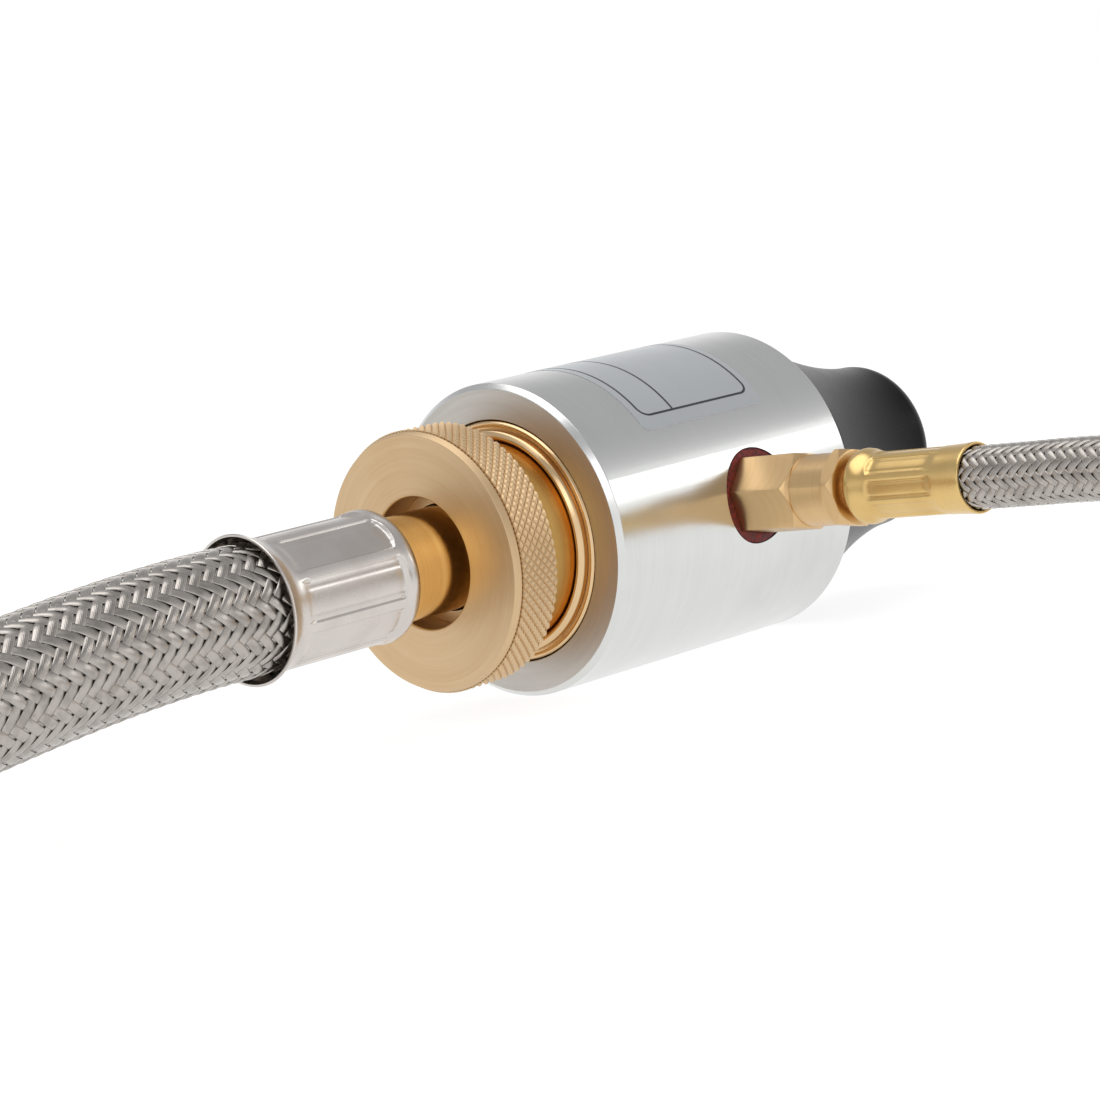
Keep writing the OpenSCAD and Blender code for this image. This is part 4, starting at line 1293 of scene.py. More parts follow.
@dataclass
class SwivelEnd:
    """The outlet hose's far end: nipple and swivel nut, from the hose's mouth outwards.

    All sizes are in millimetres.
    """

    bore: float = 6.0
    stem: float = 7.25
    tube: float = 9.85
    waist: float = 8.0
    nut_start: float = 38.5
    web: float = 43.5
    relief: float = 51.5
    nut_end: float = 63.0
    across: float = 27.0
    thread: float = 10.2
    flange: float = 10.0
    cone: float = 4.5

    def build_nipple(self, axis: Axis) -> bpy.types.Object:
        """Builds the nipple with its cone seat."""
        nose = OUTLET_FERRULE.length - OUTLET_FERRULE.web
        outline = [
            (self.bore, 4.0), (self.stem, 4.0), (self.stem, nose), (self.tube, nose),
            (self.tube, self.nut_start - 1.5, 0.5), (self.waist, self.nut_start - 1.5),
            (self.waist, self.web + 0.3), (self.flange, self.web + 0.3, 0.2),
            (self.flange, self.web + 2.0, 0.5), (self.flange - 2.5, self.web + self.cone, 0.4),
            (self.bore, self.web + self.cone, 0.3),
        ]
        piece = turned("swivel_nipple", axis, rounded(outline, 0.15, 3), 96)
        return finished(
            piece, "regulator", Finishes.tube, "outlet_end_nipple", axis=axis, suffix="_swivel"
        )

    def build_nut(self, axis: Axis) -> bpy.types.Object:
        """Builds the hexagonal swivel nut with its inner thread."""
        bar = HexBar(self.across, self.nut_start, self.nut_end, 1.6, 1.6)
        band = ThreadedBand(self.relief + 0.5, self.nut_end - 0.8, -0.45, self.thread)
        hole = self.waist + 0.3
        inner = [(self.thread + 0.7, self.nut_end, 0.2)]
        inner += [(self.thread, z, 0.0) for z in band.stations()[::-1]]
        inner += [(self.thread, self.relief, 0.0), (self.thread + 0.6, self.relief, 0.0),
                  (self.thread + 0.6, self.web, 0.0), (hole, self.web, 0.1),
                  (hole, self.nut_start, 0.3)]
        outline = rounded(bar.outline() + inner, 0.1, 2)

        def shape(radii: Grid, stations: Grid, angles: Grid) -> tuple[Grid, Grid]:
            """Holds the outside to the hexagon and cuts the thread inside."""
            radii, stations = bar.shape(radii, stations, angles)
            return band.cut(radii, stations, angles)

        piece = shaped("swivel_nut_body", axis, outline, HEX_ANGLES, shape)
        return finished(
            piece, "swivel_nut", Finishes.adapter, "swivel_nut", axis=axis, suffix="_swivel"
        )


@dataclass
class CylinderEnd:
    """The inlet hose's far end: bullet nipple, its seal and the cylinder nut.

    All sizes are in millimetres, from the hose's mouth outwards.
    """

    bore: float = 1.8
    stem: float = 2.55
    tube: float = 4.6
    nut_start: float = 31.8
    shoulder: float = 42.8
    nut_end: float = 56.8
    across: float = 23.8
    thread: float = 11.2
    bullet: float = 7.8
    bullet_start: float = 57.1
    bullet_end: float = 70.1
    seal_at: float = 61.1

    def build_nipple(self, axis: Axis) -> bpy.types.Object:
        """Builds the bullet-nosed nipple."""
        nose = INLET_FERRULE.length - INLET_FERRULE.web
        z = self.seal_at
        outline: list[tuple[float, ...]] = [
            (self.bore, 3.0), (self.stem, 3.0), (self.stem, nose), (self.tube, nose),
            (self.tube, self.bullet_start), (self.bullet, self.bullet_start, 0.4),
            (self.bullet, z - 1.2), (self.bullet - 1.7, z - 1.2), (self.bullet - 1.7, z + 1.2),
            (self.bullet, z + 1.2),
        ]
        reach = self.bullet_end - z - 1.6
        for a in np.radians(np.arange(0, 91, 7.5)):
            outline.append(
                (self.bullet - 4.4 * (1 - math.cos(a)), z + 1.6 + reach * math.sin(a), 0.0)
            )
        outline.append((self.bore, self.bullet_end, 0.3))
        piece = turned("bullet_nose", axis, rounded(outline, 0.12, 3), 96)
        return finished(
            piece, "regulator", Finishes.adapter, "bullet_nipple", axis=axis, suffix="_bullet"
        )

    def build_nut(self, axis: Axis) -> bpy.types.Object:
        """Builds the cylinder nut: a hexagon behind a left-hand thread."""
        bar = HexBar(self.across, self.nut_start, self.shoulder, 1.4, 1.0)
        band = ThreadedBand(self.shoulder + 0.8, self.nut_end - 0.6, 0.75, self.thread, -1)
        outer = [(self.thread - 0.9, self.shoulder, 0.2), (self.thread - 0.9, self.shoulder + 0.6)]
        outer += [(self.thread, z, 0.0) for z in band.stations()]
        outer += [(self.thread - 1.0, self.nut_end, 0.2), (self.tube + 0.3, self.nut_end, 0.3),
                  (self.tube + 0.3, self.nut_start, 0.3)]
        outline = rounded(bar.outline() + outer, 0.1, 2)

        def shape(radii: Grid, stations: Grid, angles: Grid) -> tuple[Grid, Grid]:
            """Holds the hexagon's stretch to its flats and cuts the thread."""
            on_hex = stations <= self.shoulder + 1e-6
            held, moved = bar.shape(radii, stations, angles)
            radii = np.where(on_hex, held, radii)
            stations = np.where(on_hex, moved, stations)
            return band.cut(radii, stations, angles)

        piece = shaped("cylinder_nut_body", axis, outline, HEX_ANGLES, shape)
        return finished(
            piece, "cylinder_nut", Finishes.adapter, "cylinder_nut", axis=axis, suffix="_cylinder"
        )

    def build_seal(self, axis: Axis) -> bpy.types.Object:
        """Builds the rubber ring on the bullet."""
        return rubber_ring(
            "bullet_seal", axis, self.bullet - 0.65, 1.0, [self.seal_at], "bullet_oring"
        )


def rubber_ring(
    name: str, axis: Axis, radius: float, thick: float, stations: Sequence[float], node: str
) -> bpy.types.Object:
    """Builds round rubber rings as one piece.

    Args:
        name: Name of the piece.
        axis: Axis that the rings lie round.
        radius: Middle radius of the rings, in millimetres.
        thick: Radius of the rings' section.
        stations: Station of each ring.
        node: CAD node that the piece stands for.
    """
    sides, segments = 16, 72
    around, section = (np.linspace(0, CIRCLE, n, endpoint=False) for n in (segments, sides))
    turn, fold = np.meshgrid(around, section, indexing="ij")
    r = radius + thick * np.cos(fold)
    rings = [
        np.stack([r * np.cos(turn), r * np.sin(turn), station + thick * np.sin(fold)], -1)
        for station in stations
    ]
    faces = [ring_faces(segments, sides) + k * segments * sides for k in range(len(rings))]
    mesh = clean_mesh(name, axis.place(np.vstack(rings).reshape(-1, 3)), np.vstack(faces))
    return finished(make_object(name, mesh, 60.0), "regulator", Finishes.seal, node)


# ---- regulator ----


@dataclass
class Cover:
    """The turned aluminium cover with its label, front collar and side hole.

    Sizes are in millimetres. Stations are counted from the cover's front face.
    """

    radius: float = 30.0
    inner: float = 28.2
    front_wall: float = 4.0
    length: float = 67.0
    chamfer: float = 1.0
    hole: float = 9.2
    hole_at: float = 39.5
    collar: float = 23.0
    collar_inner: float = 19.5
    collar_depth: float = 14.0
    proud: float = 1.7
    ring_front: float = 61.8
    ring_thick: float = 1.4
    groove: float = 0.9
    label: Box = (16.4, 50.3, 33.3, 146.7)
    border: Box = (18.4, 48.6, 39.5, 140.5)
    divider: float = 26.8
    line: float = 0.5

    def build_cover(self) -> bpy.types.Object:
        """Builds the cover and cuts the hole for the inlet."""
        mouth = self.collar + 0.2
        back = self.ring_front + self.ring_thick + 0.1
        outline = [
            (mouth, 0.0, 0.15), (self.radius - self.chamfer, 0.0, 0.12),
            (self.radius, self.chamfer, 0.12), (self.radius, self.length - 0.6, 0.15),
            (self.radius - 0.6, self.length, 0.15), (self.inner, self.length, 0.2),
            (self.inner, back), (self.inner + self.groove, back),
            (self.inner + self.groove, self.ring_front - 0.1), (self.inner, self.ring_front - 0.1),
            (self.inner, self.front_wall, 0.5), (mouth, self.front_wall),
        ]
        piece = turned("cover_shell", REGULATOR, rounded(outline, 0.1, 3), 192)
        cutter_axis = level_axis(tuple(REGULATOR.at(self.hole_at)), 0.0)
        cutter = turned(
            "cutter", cutter_axis,
            np.array([(0.0, 15.0), (self.hole, 15.0), (self.hole, 40.0), (0.0, 40.0)]), 96,
        )
        cut_away(piece, cutter)
        # the front faces take the darker faced colour, which is partly painted shade
        side, face = Finishes.aluminium, Finishes.faced_and_shaded
        dress(piece, side.material(REGULATOR), face.material(REGULATOR))
        front = REGULATOR.origin[1] + 0.02 * MM
        piece.data.polygons.foreach_set(
            "material_index", [int(polygon.center.y < front) for polygon in piece.data.polygons]
        )
        return seat(piece, "regulator", side.slot, "cover")

    def build_collar(self) -> bpy.types.Object:
        """Builds the brass collar in the cover's face."""
        r, front = self.collar, -self.proud
        outline = [
            (self.collar_inner, self.collar_depth), (r, self.collar_depth), (r, 0.2),
            (r - 0.4, -0.35), (r - 0.9, -0.35), (r - 1.1, 0.15, 0.05), (r - 1.5, 0.15, 0.05),
            (r - 1.7, front * 0.6, 0.3), (r - 2.5, front, 0.35),
            (self.collar_inner + 0.7, front, 0.15), (self.collar_inner, front + 0.6, 0.15),
        ]
        piece = turned("front_collar", REGULATOR, rounded(outline, 0.12, 3), 160)
        return finished(piece, "regulator", Finishes.collar, "outlet_collar", axis=REGULATOR)

    def build_label(self) -> list[bpy.types.Object]:
        """Builds the film of the label and the plain lines printed on it."""
        film = self.patch("label_film", self.label, 1.6, self.radius + 0.005, 0.06)
        finished(film, "regulator", Finishes.film)
        level, print_thick, half = self.radius + 0.066, 0.012, self.line / 2
        edge = self.border_line("label_border", self.border, 2.2, level, print_thick)
        finished(edge, "regulator", Finishes.ink)
        across = (self.border[2] + 0.3, self.border[3] - 0.3)
        box = (self.divider - half, self.divider + half, *across)
        rule = self.patch("label_rule", box, 0.05, level, print_thick)
        finished(rule, "regulator", Finishes.ink)
        return [film, edge, rule]

    def corner_path(self, box: Box, corner: float) -> list[tuple[float, float]]:
        """Returns a rounded rectangle as stations and arc lengths on the cover.

        Args:
            box: Lowest and highest station, and lowest and highest angle in degrees.
            corner: Radius of the corners.
        """
        y0, y1 = box[0], box[1]
        s0, s1 = (math.radians(a) * self.radius for a in box[2:])
        path = []
        for cy, cs, first in (
            (y1 - corner, s1 - corner, 0), (y1 - corner, s0 + corner, 270),
            (y0 + corner, s0 + corner, 180), (y0 + corner, s1 - corner, 90),
        ):
            for a in np.radians(first + np.linspace(90, 0, 7)):
                path.append((cy + corner * math.cos(a), cs + corner * math.sin(a)))
        return path

    def on_cover(self, name: str, rings: Grid, closed: bool) -> bpy.types.Object:
        """Builds a thin piece that lies over the cover's side.

        Args:
            name: Name of the piece.
            rings: Station, arc length and radius of each point, four points to a ring.
            closed: Whether the last ring joins the first.
        """
        stations, arcs, radii = rings.reshape(-1, 3).T
        a = -arcs / self.radius
        faces = ring_faces(len(rings), 4, closed).tolist()
        if not closed:
            last = 4 * len(rings) - 4
            faces += [(3, 2, 1, 0), (last, last + 1, last + 2, last + 3)]
        points = np.stack([radii * np.cos(a), radii * np.sin(a), stations], axis=-1)
        return make_object(name, clean_mesh(name, REGULATOR.place(points), faces, 1e-7))

    def patch(
        self, name: str, box: Box, corner: float, radius: float, thick: float
    ) -> bpy.types.Object:
        """Builds a thin rounded rectangle that lies on the cover's side."""
        s0, s1 = (math.radians(a) * self.radius for a in box[2:])
        y0, y1 = box[:2]
        corner = min(corner, (y1 - y0) / 2.01, (s1 - s0) / 2.01)
        bends = np.radians(np.linspace(0, 90, 7))
        left = s0 + corner * (1 - np.cos(bends))
        middle = np.linspace(s0 + corner, s1 - corner, 64)[1:-1]
        columns = np.concatenate([left, middle, (s0 + s1 - left)[::-1]])
        inset = np.clip(np.minimum(columns - s0, s1 - columns), 0, corner)
        drop = corner - np.sqrt(np.maximum(corner**2 - (corner - inset) ** 2, 0))
        top = radius + thick
        rings = []
        for s, d in zip(columns, drop):
            low, high = y0 + d * 0.999, y1 - d * 0.999
            rings.append([(low, s, radius), (high, s, radius), (high, s, top), (low, s, top)])
        return self.on_cover(name, np.array(rings), closed=False)

    def border_line(
        self, name: str, box: Box, corner: float, radius: float, thick: float
    ) -> bpy.types.Object:
        """Builds a thin line round a rounded rectangle on the cover's side."""
        outer = self.corner_path(box, corner)
        path: list[tuple[float, float]] = []
        for (y0, s0), (y1, s1) in zip(outer, outer[1:] + outer[:1]):
            n = max(1, round(abs(s1 - s0) / 1.2))
            path += [(y0 + (y1 - y0) * k / n, s0 + (s1 - s0) * k / n) for k in range(n)]
        line = np.array(path)
        ahead = np.roll(line, -1, axis=0) - np.roll(line, 1, axis=0)
        ahead /= np.linalg.norm(ahead, axis=1, keepdims=True)
        side = np.stack([ahead[:, 1], -ahead[:, 0]], -1) * self.line / 2
        top = radius + thick
        corners = ((1, radius), (1, top), (-1, top), (-1, radius))
        rings = [
            [(*(place + sign * off), r) for sign, r in corners] for place, off in zip(line, side)
        ]
        return self.on_cover(name, np.array(rings), closed=True)


def cut_away(piece: bpy.types.Object, cutter: bpy.types.Object) -> None:
    """Cuts one solid out of another and deletes the cutter."""
    piece.modifiers.clear()
    modifier = piece.modifiers.new("cut", "BOOLEAN")
    modifier.operation = "DIFFERENCE"
    modifier.solver = "EXACT"
    modifier.object = cutter
    graph = bpy.context.evaluated_depsgraph_get()
    mesh = bpy.data.meshes.new_from_object(piece.evaluated_get(graph))
    piece.modifiers.clear()
    old = piece.data
    piece.data = mesh
    mesh.name = piece.name
    bpy.data.meshes.remove(old)
    bpy.data.objects.remove(cutter)
    make_smooth(piece)


@dataclass
class CouplingNut:
    """The knurled coupling nut with the spigot that turns into the collar.

    Sizes are in millimetres. Stations are counted from the cover's front face.
    """

    crest: float = 24.75
    depth: float = 0.45
    knurl_front: float = -20.5
    knurl_back: float = -11.5
    face: float = -22.0
    face_radius: float = 23.95
    mouth: float = 12.4
    web: float = 4.2
    hole: float = 10.15
    spigot: float = 19.3
    spigot_end: float = 9.0
    cavity: float = 16.0
    count: int = 84
    rows: int = 5
    land: float = 0.16

    def build_body(self) -> bpy.types.Object:
        """Builds the turned body with the knurled band joined to it."""
        under, crest = self.crest - self.depth - 0.05, self.crest
        front, back = self.knurl_front, self.knurl_back
        web_front = back - self.web
        outline = [
            (self.mouth, self.face + 0.3, 0.2), (self.mouth + 0.3, self.face, 0.1),
            (self.face_radius, self.face, 0.12), (crest - 0.25, front - 0.05, 0.3),
            (under, front + 0.3, 0.0), (under, back - 0.35, 0.0),
            (crest - 0.35, back - 0.2, 0.1), (crest - 0.6, back, 0.1),
            (self.spigot, back, 0.3), (self.spigot, self.spigot_end - 1.0),
            (self.spigot - 0.8, self.spigot_end), (self.cavity, self.spigot_end),
            (self.cavity, back), (self.hole, back), (self.hole, web_front, 0.1),
            (self.mouth, web_front, 0.15),
        ]
        piece = turned("coupling_nut_body", REGULATOR, rounded(outline, 0.1, 3), 168)
        knurl = self.build_knurl()
        finish, reflection_tinted_gold = Finishes.nut, Finishes.spigot
        dress(piece, finish.material(REGULATOR), reflection_tinted_gold.material(REGULATOR))
        # the nut's back beyond the knurl, in the recess, takes the deeper gold, which is partly
        # painted reflection
        limit = REGULATOR.origin[1] + (back - 0.02) * MM
        piece.data.polygons.foreach_set(
            "material_index", [int(polygon.center.y > limit) for polygon in piece.data.polygons]
        )
        dress(knurl, piece.data.materials[0])
        seat(knurl, "coupling_nut", finish.slot)
        return seat(piece, "coupling_nut", finish.slot, "coupling_nut")

    def build_knurl(self) -> bpy.types.Object:
        """Builds the band of crossed grooves, with a small flat land on each diamond."""
        step = CIRCLE / self.count
        low, high = self.knurl_front + 0.02, self.knurl_back - 0.22
        last = 2 * self.rows
        pace = (high - low) / last
        root, crest = self.crest - self.depth, self.crest
        inner = root - 0.4
        points: list[Point] = []
        faces: list[tuple[int, ...]] = []

        def add(radius: float, column: float, row: float) -> int:
            """Adds a point at a column and a row of the lattice."""
            a = column * step
            points.append((radius * math.cos(a), radius * math.sin(a), low + pace * row))
            return len(points) - 1

        land = self.land
        for k in range(-1, last + 1):
            for i in range(self.count):
                c = i + (k % 2) / 2 + 0.5
                corners = [(c - 0.5, k), (c, k - 1), (c + 0.5, k), (c, k + 1)]
                tops = [(c - land, k), (c, k - 2 * land), (c + land, k), (c, k + 2 * land)]
                corners = [(x, min(max(y, 0), last)) for x, y in corners]
                tops = [(x, min(max(y, 0), last)) for x, y in tops]
                base = [add(root, x, y) for x, y in corners]
                top = [add(crest, x, y) for x, y in tops]
                for m in range(4):
                    n = (m + 1) % 4
                    faces.append((base[m], base[n], top[n], top[m]))
                faces.append(tuple(top))
        for i in range(2 * self.count):
            a, b = i / 2, (i + 1) / 2
            for row in (0, last):
                rim = [add(root, a, row), add(root, b, row)]
                faces.append((*rim, add(inner, b, row), add(inner, a, row)))
            front = [add(inner, a, 0), add(inner, b, 0)]
            faces.append((*front, add(inner, b, last), add(inner, a, last)))
        mesh = clean_mesh("knurled_band", REGULATOR.place(np.array(points)), faces, 2e-6)
        return make_object("knurled_band", mesh, 12.0)


@dataclass
class OutletTube:
    """The nipple that carries the outlet hose, with its seals.

    Sizes are in millimetres. Stations are counted from the cover's front face.
    """

    tube: float = 9.85
    bore: float = 6.0
    stem: float = 7.25
    stem_end: float = -62.0
    ferrule: float = -33.0
    flange: float = 14.8
    flange_front: float = -9.9
    flange_back: float = -4.9
    nose: float = 10.95
    nose_end: float = 12.0
    seal_at: tuple[float, float] = (0.5, 6.5)
    seal_thick: float = 0.95
    seal_out: float = 11.0
    groove: float = 1.9

    def build(self) -> list[bpy.types.Object]:
        """Builds the nipple and the rings in its grooves."""
        stem_start = self.ferrule - OUTLET_FERRULE.web
        outline: list[tuple[float, ...]] = [
            (self.bore, self.stem_end), (self.stem, self.stem_end), (self.stem, stem_start),
            (self.tube, stem_start, 0.3), (self.tube, self.flange_front),
            (self.flange, self.flange_front), (self.flange, self.flange_back),
            (self.nose, self.flange_back),
        ]
        for z in self.seal_at:
            for r, at in ((self.nose, z - 1.3), (self.nose - self.groove, z - 1.3),
                          (self.nose - self.groove, z + 1.3), (self.nose, z + 1.3)):
                outline.append((r, at, 0.1))
        outline += [(self.nose, self.nose_end - 1), (self.nose - 1, self.nose_end),
                    (self.bore, self.nose_end)]
        piece = turned("outlet_tube", REGULATOR, rounded(outline, 0.2, 3), 128)
        # the nipple's brass is brightened as painted light
        finished(piece, "regulator", Finishes.tube, "outlet_nipple", axis=REGULATOR)
        seals = rubber_ring(
            "nose_seals", REGULATOR, self.seal_out - self.seal_thick, self.seal_thick,
            self.seal_at, "nipple_orings",
        )
        return [piece, seals]


@dataclass
class InletAdapter:
    """The brass adapter in the cover's side and the red sealant round it.

    Sizes are in millimetres. Stations are counted from the regulator's axis.
    """

    across: float = 14.0
    shank: float = 6.4
    shank_start: float = 12.0
    hex_start: float = 28.2
    hex_end: float = 43.2
    neck: float = 6.8
    neck_end: float = 51.2
    collar_end: float = 54.3
    groove: float = 4.6
    nose: float = 55.2
    stem: float = 2.55
    stem_end: float = 80.0
    bore: float = 3.2
    stem_bore: float = 1.8
    sealant_start: float = 25.5
    turn: float = -13.0
    buried: float = 0.6
    sunk: float = 0.4

    def build(self) -> bpy.types.Object:
        """Builds the adapter: shank, long hexagon, round neck, short hexagon and stem."""
        first = HexBar(self.across, self.hex_start - self.buried, self.hex_end, 0.0, 1.2)
        second = HexBar(self.across, self.neck_end, self.collar_end, 1.0, 1.0)
        middle = (self.hex_end + self.neck_end) / 2
        stem_start = self.nose + INLET_FERRULE.web
        outline: list[tuple[float, ...]] = [
            (self.bore, self.shank_start), (self.shank - 1, self.shank_start, 0.3),
            (self.shank, self.shank_start + 1, 0.3), (self.shank, self.hex_start - self.buried),
        ]
        outline += first.outline()
        outline += [(self.neck, self.hex_end + 0.02, 0.0), (self.neck, self.neck_end - 0.02, 0.0)]
        outline += second.outline()
        outline += [
            (self.groove, self.collar_end), (self.groove, stem_start),
            (self.stem, stem_start), (self.stem, self.stem_end), (self.stem_bore, self.stem_end),
            (self.stem_bore, self.neck_end - 1), (self.bore, self.neck_end - 1),
        ]

        def shape(radii: Grid, stations: Grid, angles: Grid) -> tuple[Grid, Grid]:
            """Holds both hexagons to their flats."""
            on_first = first.shape(radii, stations, angles)
            on_second = second.shape(radii, stations, angles)
            near = stations < middle
            return tuple(np.where(near, a, b) for a, b in zip(on_first, on_second))

        piece = shaped(
            "inlet_hexagon", spun(BRANCH, self.turn), rounded(outline, 0.1, 2),
            HEX_ANGLES, shape,
        )
        return finished(piece, "regulator", Finishes.adapter, "inlet_adapter", axis=BRANCH)

    def build_sealant(self) -> bpy.types.Object:
        """Builds the crumbly ring of sealant between the adapter and the cover."""
        hole, low, top = Cover.hole, self.hex_start - self.buried - 0.1, self.hex_start - 0.1
        angles = np.linspace(0, CIRCLE, 180, endpoint=False)
        outline = rounded(
            [
                (self.shank + 0.1, self.sealant_start), (hole - 0.6, self.sealant_start),
                (hole - 0.2, self.sealant_start + 1.0, 0.3), (hole - 0.1, top - 0.4, 0.1),
                (hole - 0.2, top, 0.1), (hole - 0.6, top + 0.1, 0.1), (hole - 1.0, top + 0.05, 0.1),
                (hole - 1.5, top, 0.1), (self.shank + 0.9, top - 0.05), (self.shank + 0.9, low),
                (self.shank + 0.1, low),
            ],
            0.1, 2,
        )

        def crumble(radii: Grid, stations: Grid, angles: Grid) -> tuple[Grid, Grid]:
            """Fits the ring round the hexagon and roughens its skin with sums of waves."""
            lumps = (
                0.5 * np.sin(7 * angles + 1.1) + 0.35 * np.sin(17 * angles + 0.4 + radii)
                + 0.35 * np.sin(31 * angles + 3.0 * radii) + 0.3 * np.sin(53 * angles - 2.0 * radii)
            )
            saddle = np.sqrt(Cover.radius**2 - (radii * np.cos(angles)) ** 2) - self.sunk - top
            crust = saddle + 0.3 * np.cos(angles) ** 4
            skin = (stations > top - 0.6) & (radii > self.shank + 0.8)
            hexagon = self.across / 2 / np.cos(from_side(angles - math.radians(self.turn), 6))
            off_shank = radii - self.shank
            inner = (off_shank < 1.0) & (off_shank > 0.5) & (stations > low - 0.05)
            share = np.clip((radii - self.shank - 0.9) / (hole - 0.2 - self.shank - 0.9), 0, 1)
            fitted = hexagon + 0.03 + (hole - 0.2 - hexagon) * share
            radii = np.where(inner | (skin & (radii < hole - 0.15)), fitted, radii)
            return radii, np.where(skin, stations + 0.09 * lumps * share + crust, stations)

        piece = shaped("sealant_ring", BRANCH, outline, angles, crumble, 60.0)
        return finished(piece, "regulator", Finishes.sealant, "thread_sealant")


@dataclass
class VentBoot:
    """The rubber boot over the adjusting screw.

    Sizes are in millimetres. Stations are counted from the cover's front face.
    """

    root: float = 27.9
    flare: float = 28.6
    tip: float = 16.8
    wall: float = 1.8
    front: float = 63.8
    cover_end: float = 67.0
    end: float = 110.0
    tip_round: float = 4.2
    breather: float = 2.5

    def radius(self, station: float) -> float:
        """Returns the boot's outer radius at a station."""
        share = (station - self.cover_end) / (self.end - self.tip_round - self.cover_end)
        sweep = self.tip + (self.flare - self.tip) * max(0.0, 1 - share) ** 1.65
        return min(self.root, sweep)

    def build(self) -> bpy.types.Object:
        """Builds the boot with its rounded end and breather hole."""
        top = self.end - self.tip_round
        stations = np.linspace(self.cover_end, top, 22)
        outline: list[tuple[float, ...]] = [(self.root, self.front, 0.3)]
        outline += [(self.radius(z), z, 0.0) for z in stations]
        centre = (self.tip - self.tip_round, top)
        outline += arc(centre, self.tip_round, 5, 90, 8)
        outline += [(self.breather, self.end, 0.4), (self.breather, self.end - self.wall, 0.3)]
        outline += arc(centre, self.tip_round - self.wall, 90, 0, 6)
        outline += [(self.radius(z) - self.wall, z, 0.0) for z in stations[::-1]]
        outline += [(self.root - self.wall, self.front, 0.2)]
        piece = turned("rubber_boot", REGULATOR, rounded(outline, 0.2, 3), 128)
        return finished(piece, "vent_boot", Finishes.boot, "vent_boot")


@dataclass
class InnerRubber:
    """The rubber pieces inside the regulator: the rolled diaphragm and the poppet's seal."""

    body_back: float = 51.5
    thick: float = 1.0
    inner: float = 14.9
    outer: float = 27.2
    fold: float = 2.5
    fold_at: float = 18.1
    seal: Box = (3.8, 1.22, 40.7, 41.7)

    def build(self) -> list[bpy.types.Object]:
        """Builds both pieces."""
        z, t = self.body_back, self.thick
        outline: list[tuple[float, ...]] = [(self.inner, z, 0.0)]
        outline += arc((self.fold_at, z), self.fold, 180, 0, 12)
        outline += [(self.outer, z), (self.outer, z + t)]
        a = math.degrees(math.asin(t / (self.fold + t)))
        outline += arc((self.fold_at, z), self.fold + t, a, 180 - a, 12)
        outline += [(self.inner, z + t, 0.0)]
        sheet = turned("rolled_diaphragm", REGULATOR, rounded(outline, 0.05, 1), 96)
        finished(sheet, "regulator", Finishes.seal, "diaphragm")
        r1, r0, z0, z1 = self.seal
        section = rounded([(r0, z0), (r1, z0), (r1, z1), (r0, z1)], 0.1, 2)
        disc = turned("poppet_seal_disc", REGULATOR, section, 64)
        finished(disc, "valve_poppet", Finishes.seal, "poppet_seal")
        return [sheet, disc]


class InnerParts:
    """CAD nodes that stay as they are and get a finish."""

    finishes: dict[str, Finish] = {
        "valve_body": Finishes.zinc,
        "retaining_ring": Finishes.sheet_steel,
        "diaphragm_plate": Finishes.sheet_steel,
        "poppet_spring": Finishes.wire_steel,
        "main_spring": Finishes.wire_steel,
        "inlet_filter": Finishes.gauze,
        "thrust_washer": Finishes.nylon,
        "valve_seat": Finishes.adapter,
        "valve_poppet": Finishes.adapter,
        "valve_plug": Finishes.adapter,
        "spring_button": Finishes.adapter,
        "adjusting_screw": Finishes.adapter,
        "bonnet": Finishes.aluminium,
    }

    def dress(self, nodes: dict[str, bpy.types.Object]) -> None:
        """Gives each node its finish, with the rings of a turned one round the regulator."""
        for name, finish in self.finishes.items():
            is_turned = isinstance(finish, TurnedMetal)
            material = finish.material(REGULATOR, "_" + name) if is_turned else finish.material()
            node = nodes[name]
            if not node.material_slots:
                node.data.materials.append(material)
            for place in node.material_slots:
                place.material = material
            LOG.info("%s keeps its CAD solid in %s", node.name, material.name)


# ---- studio ----


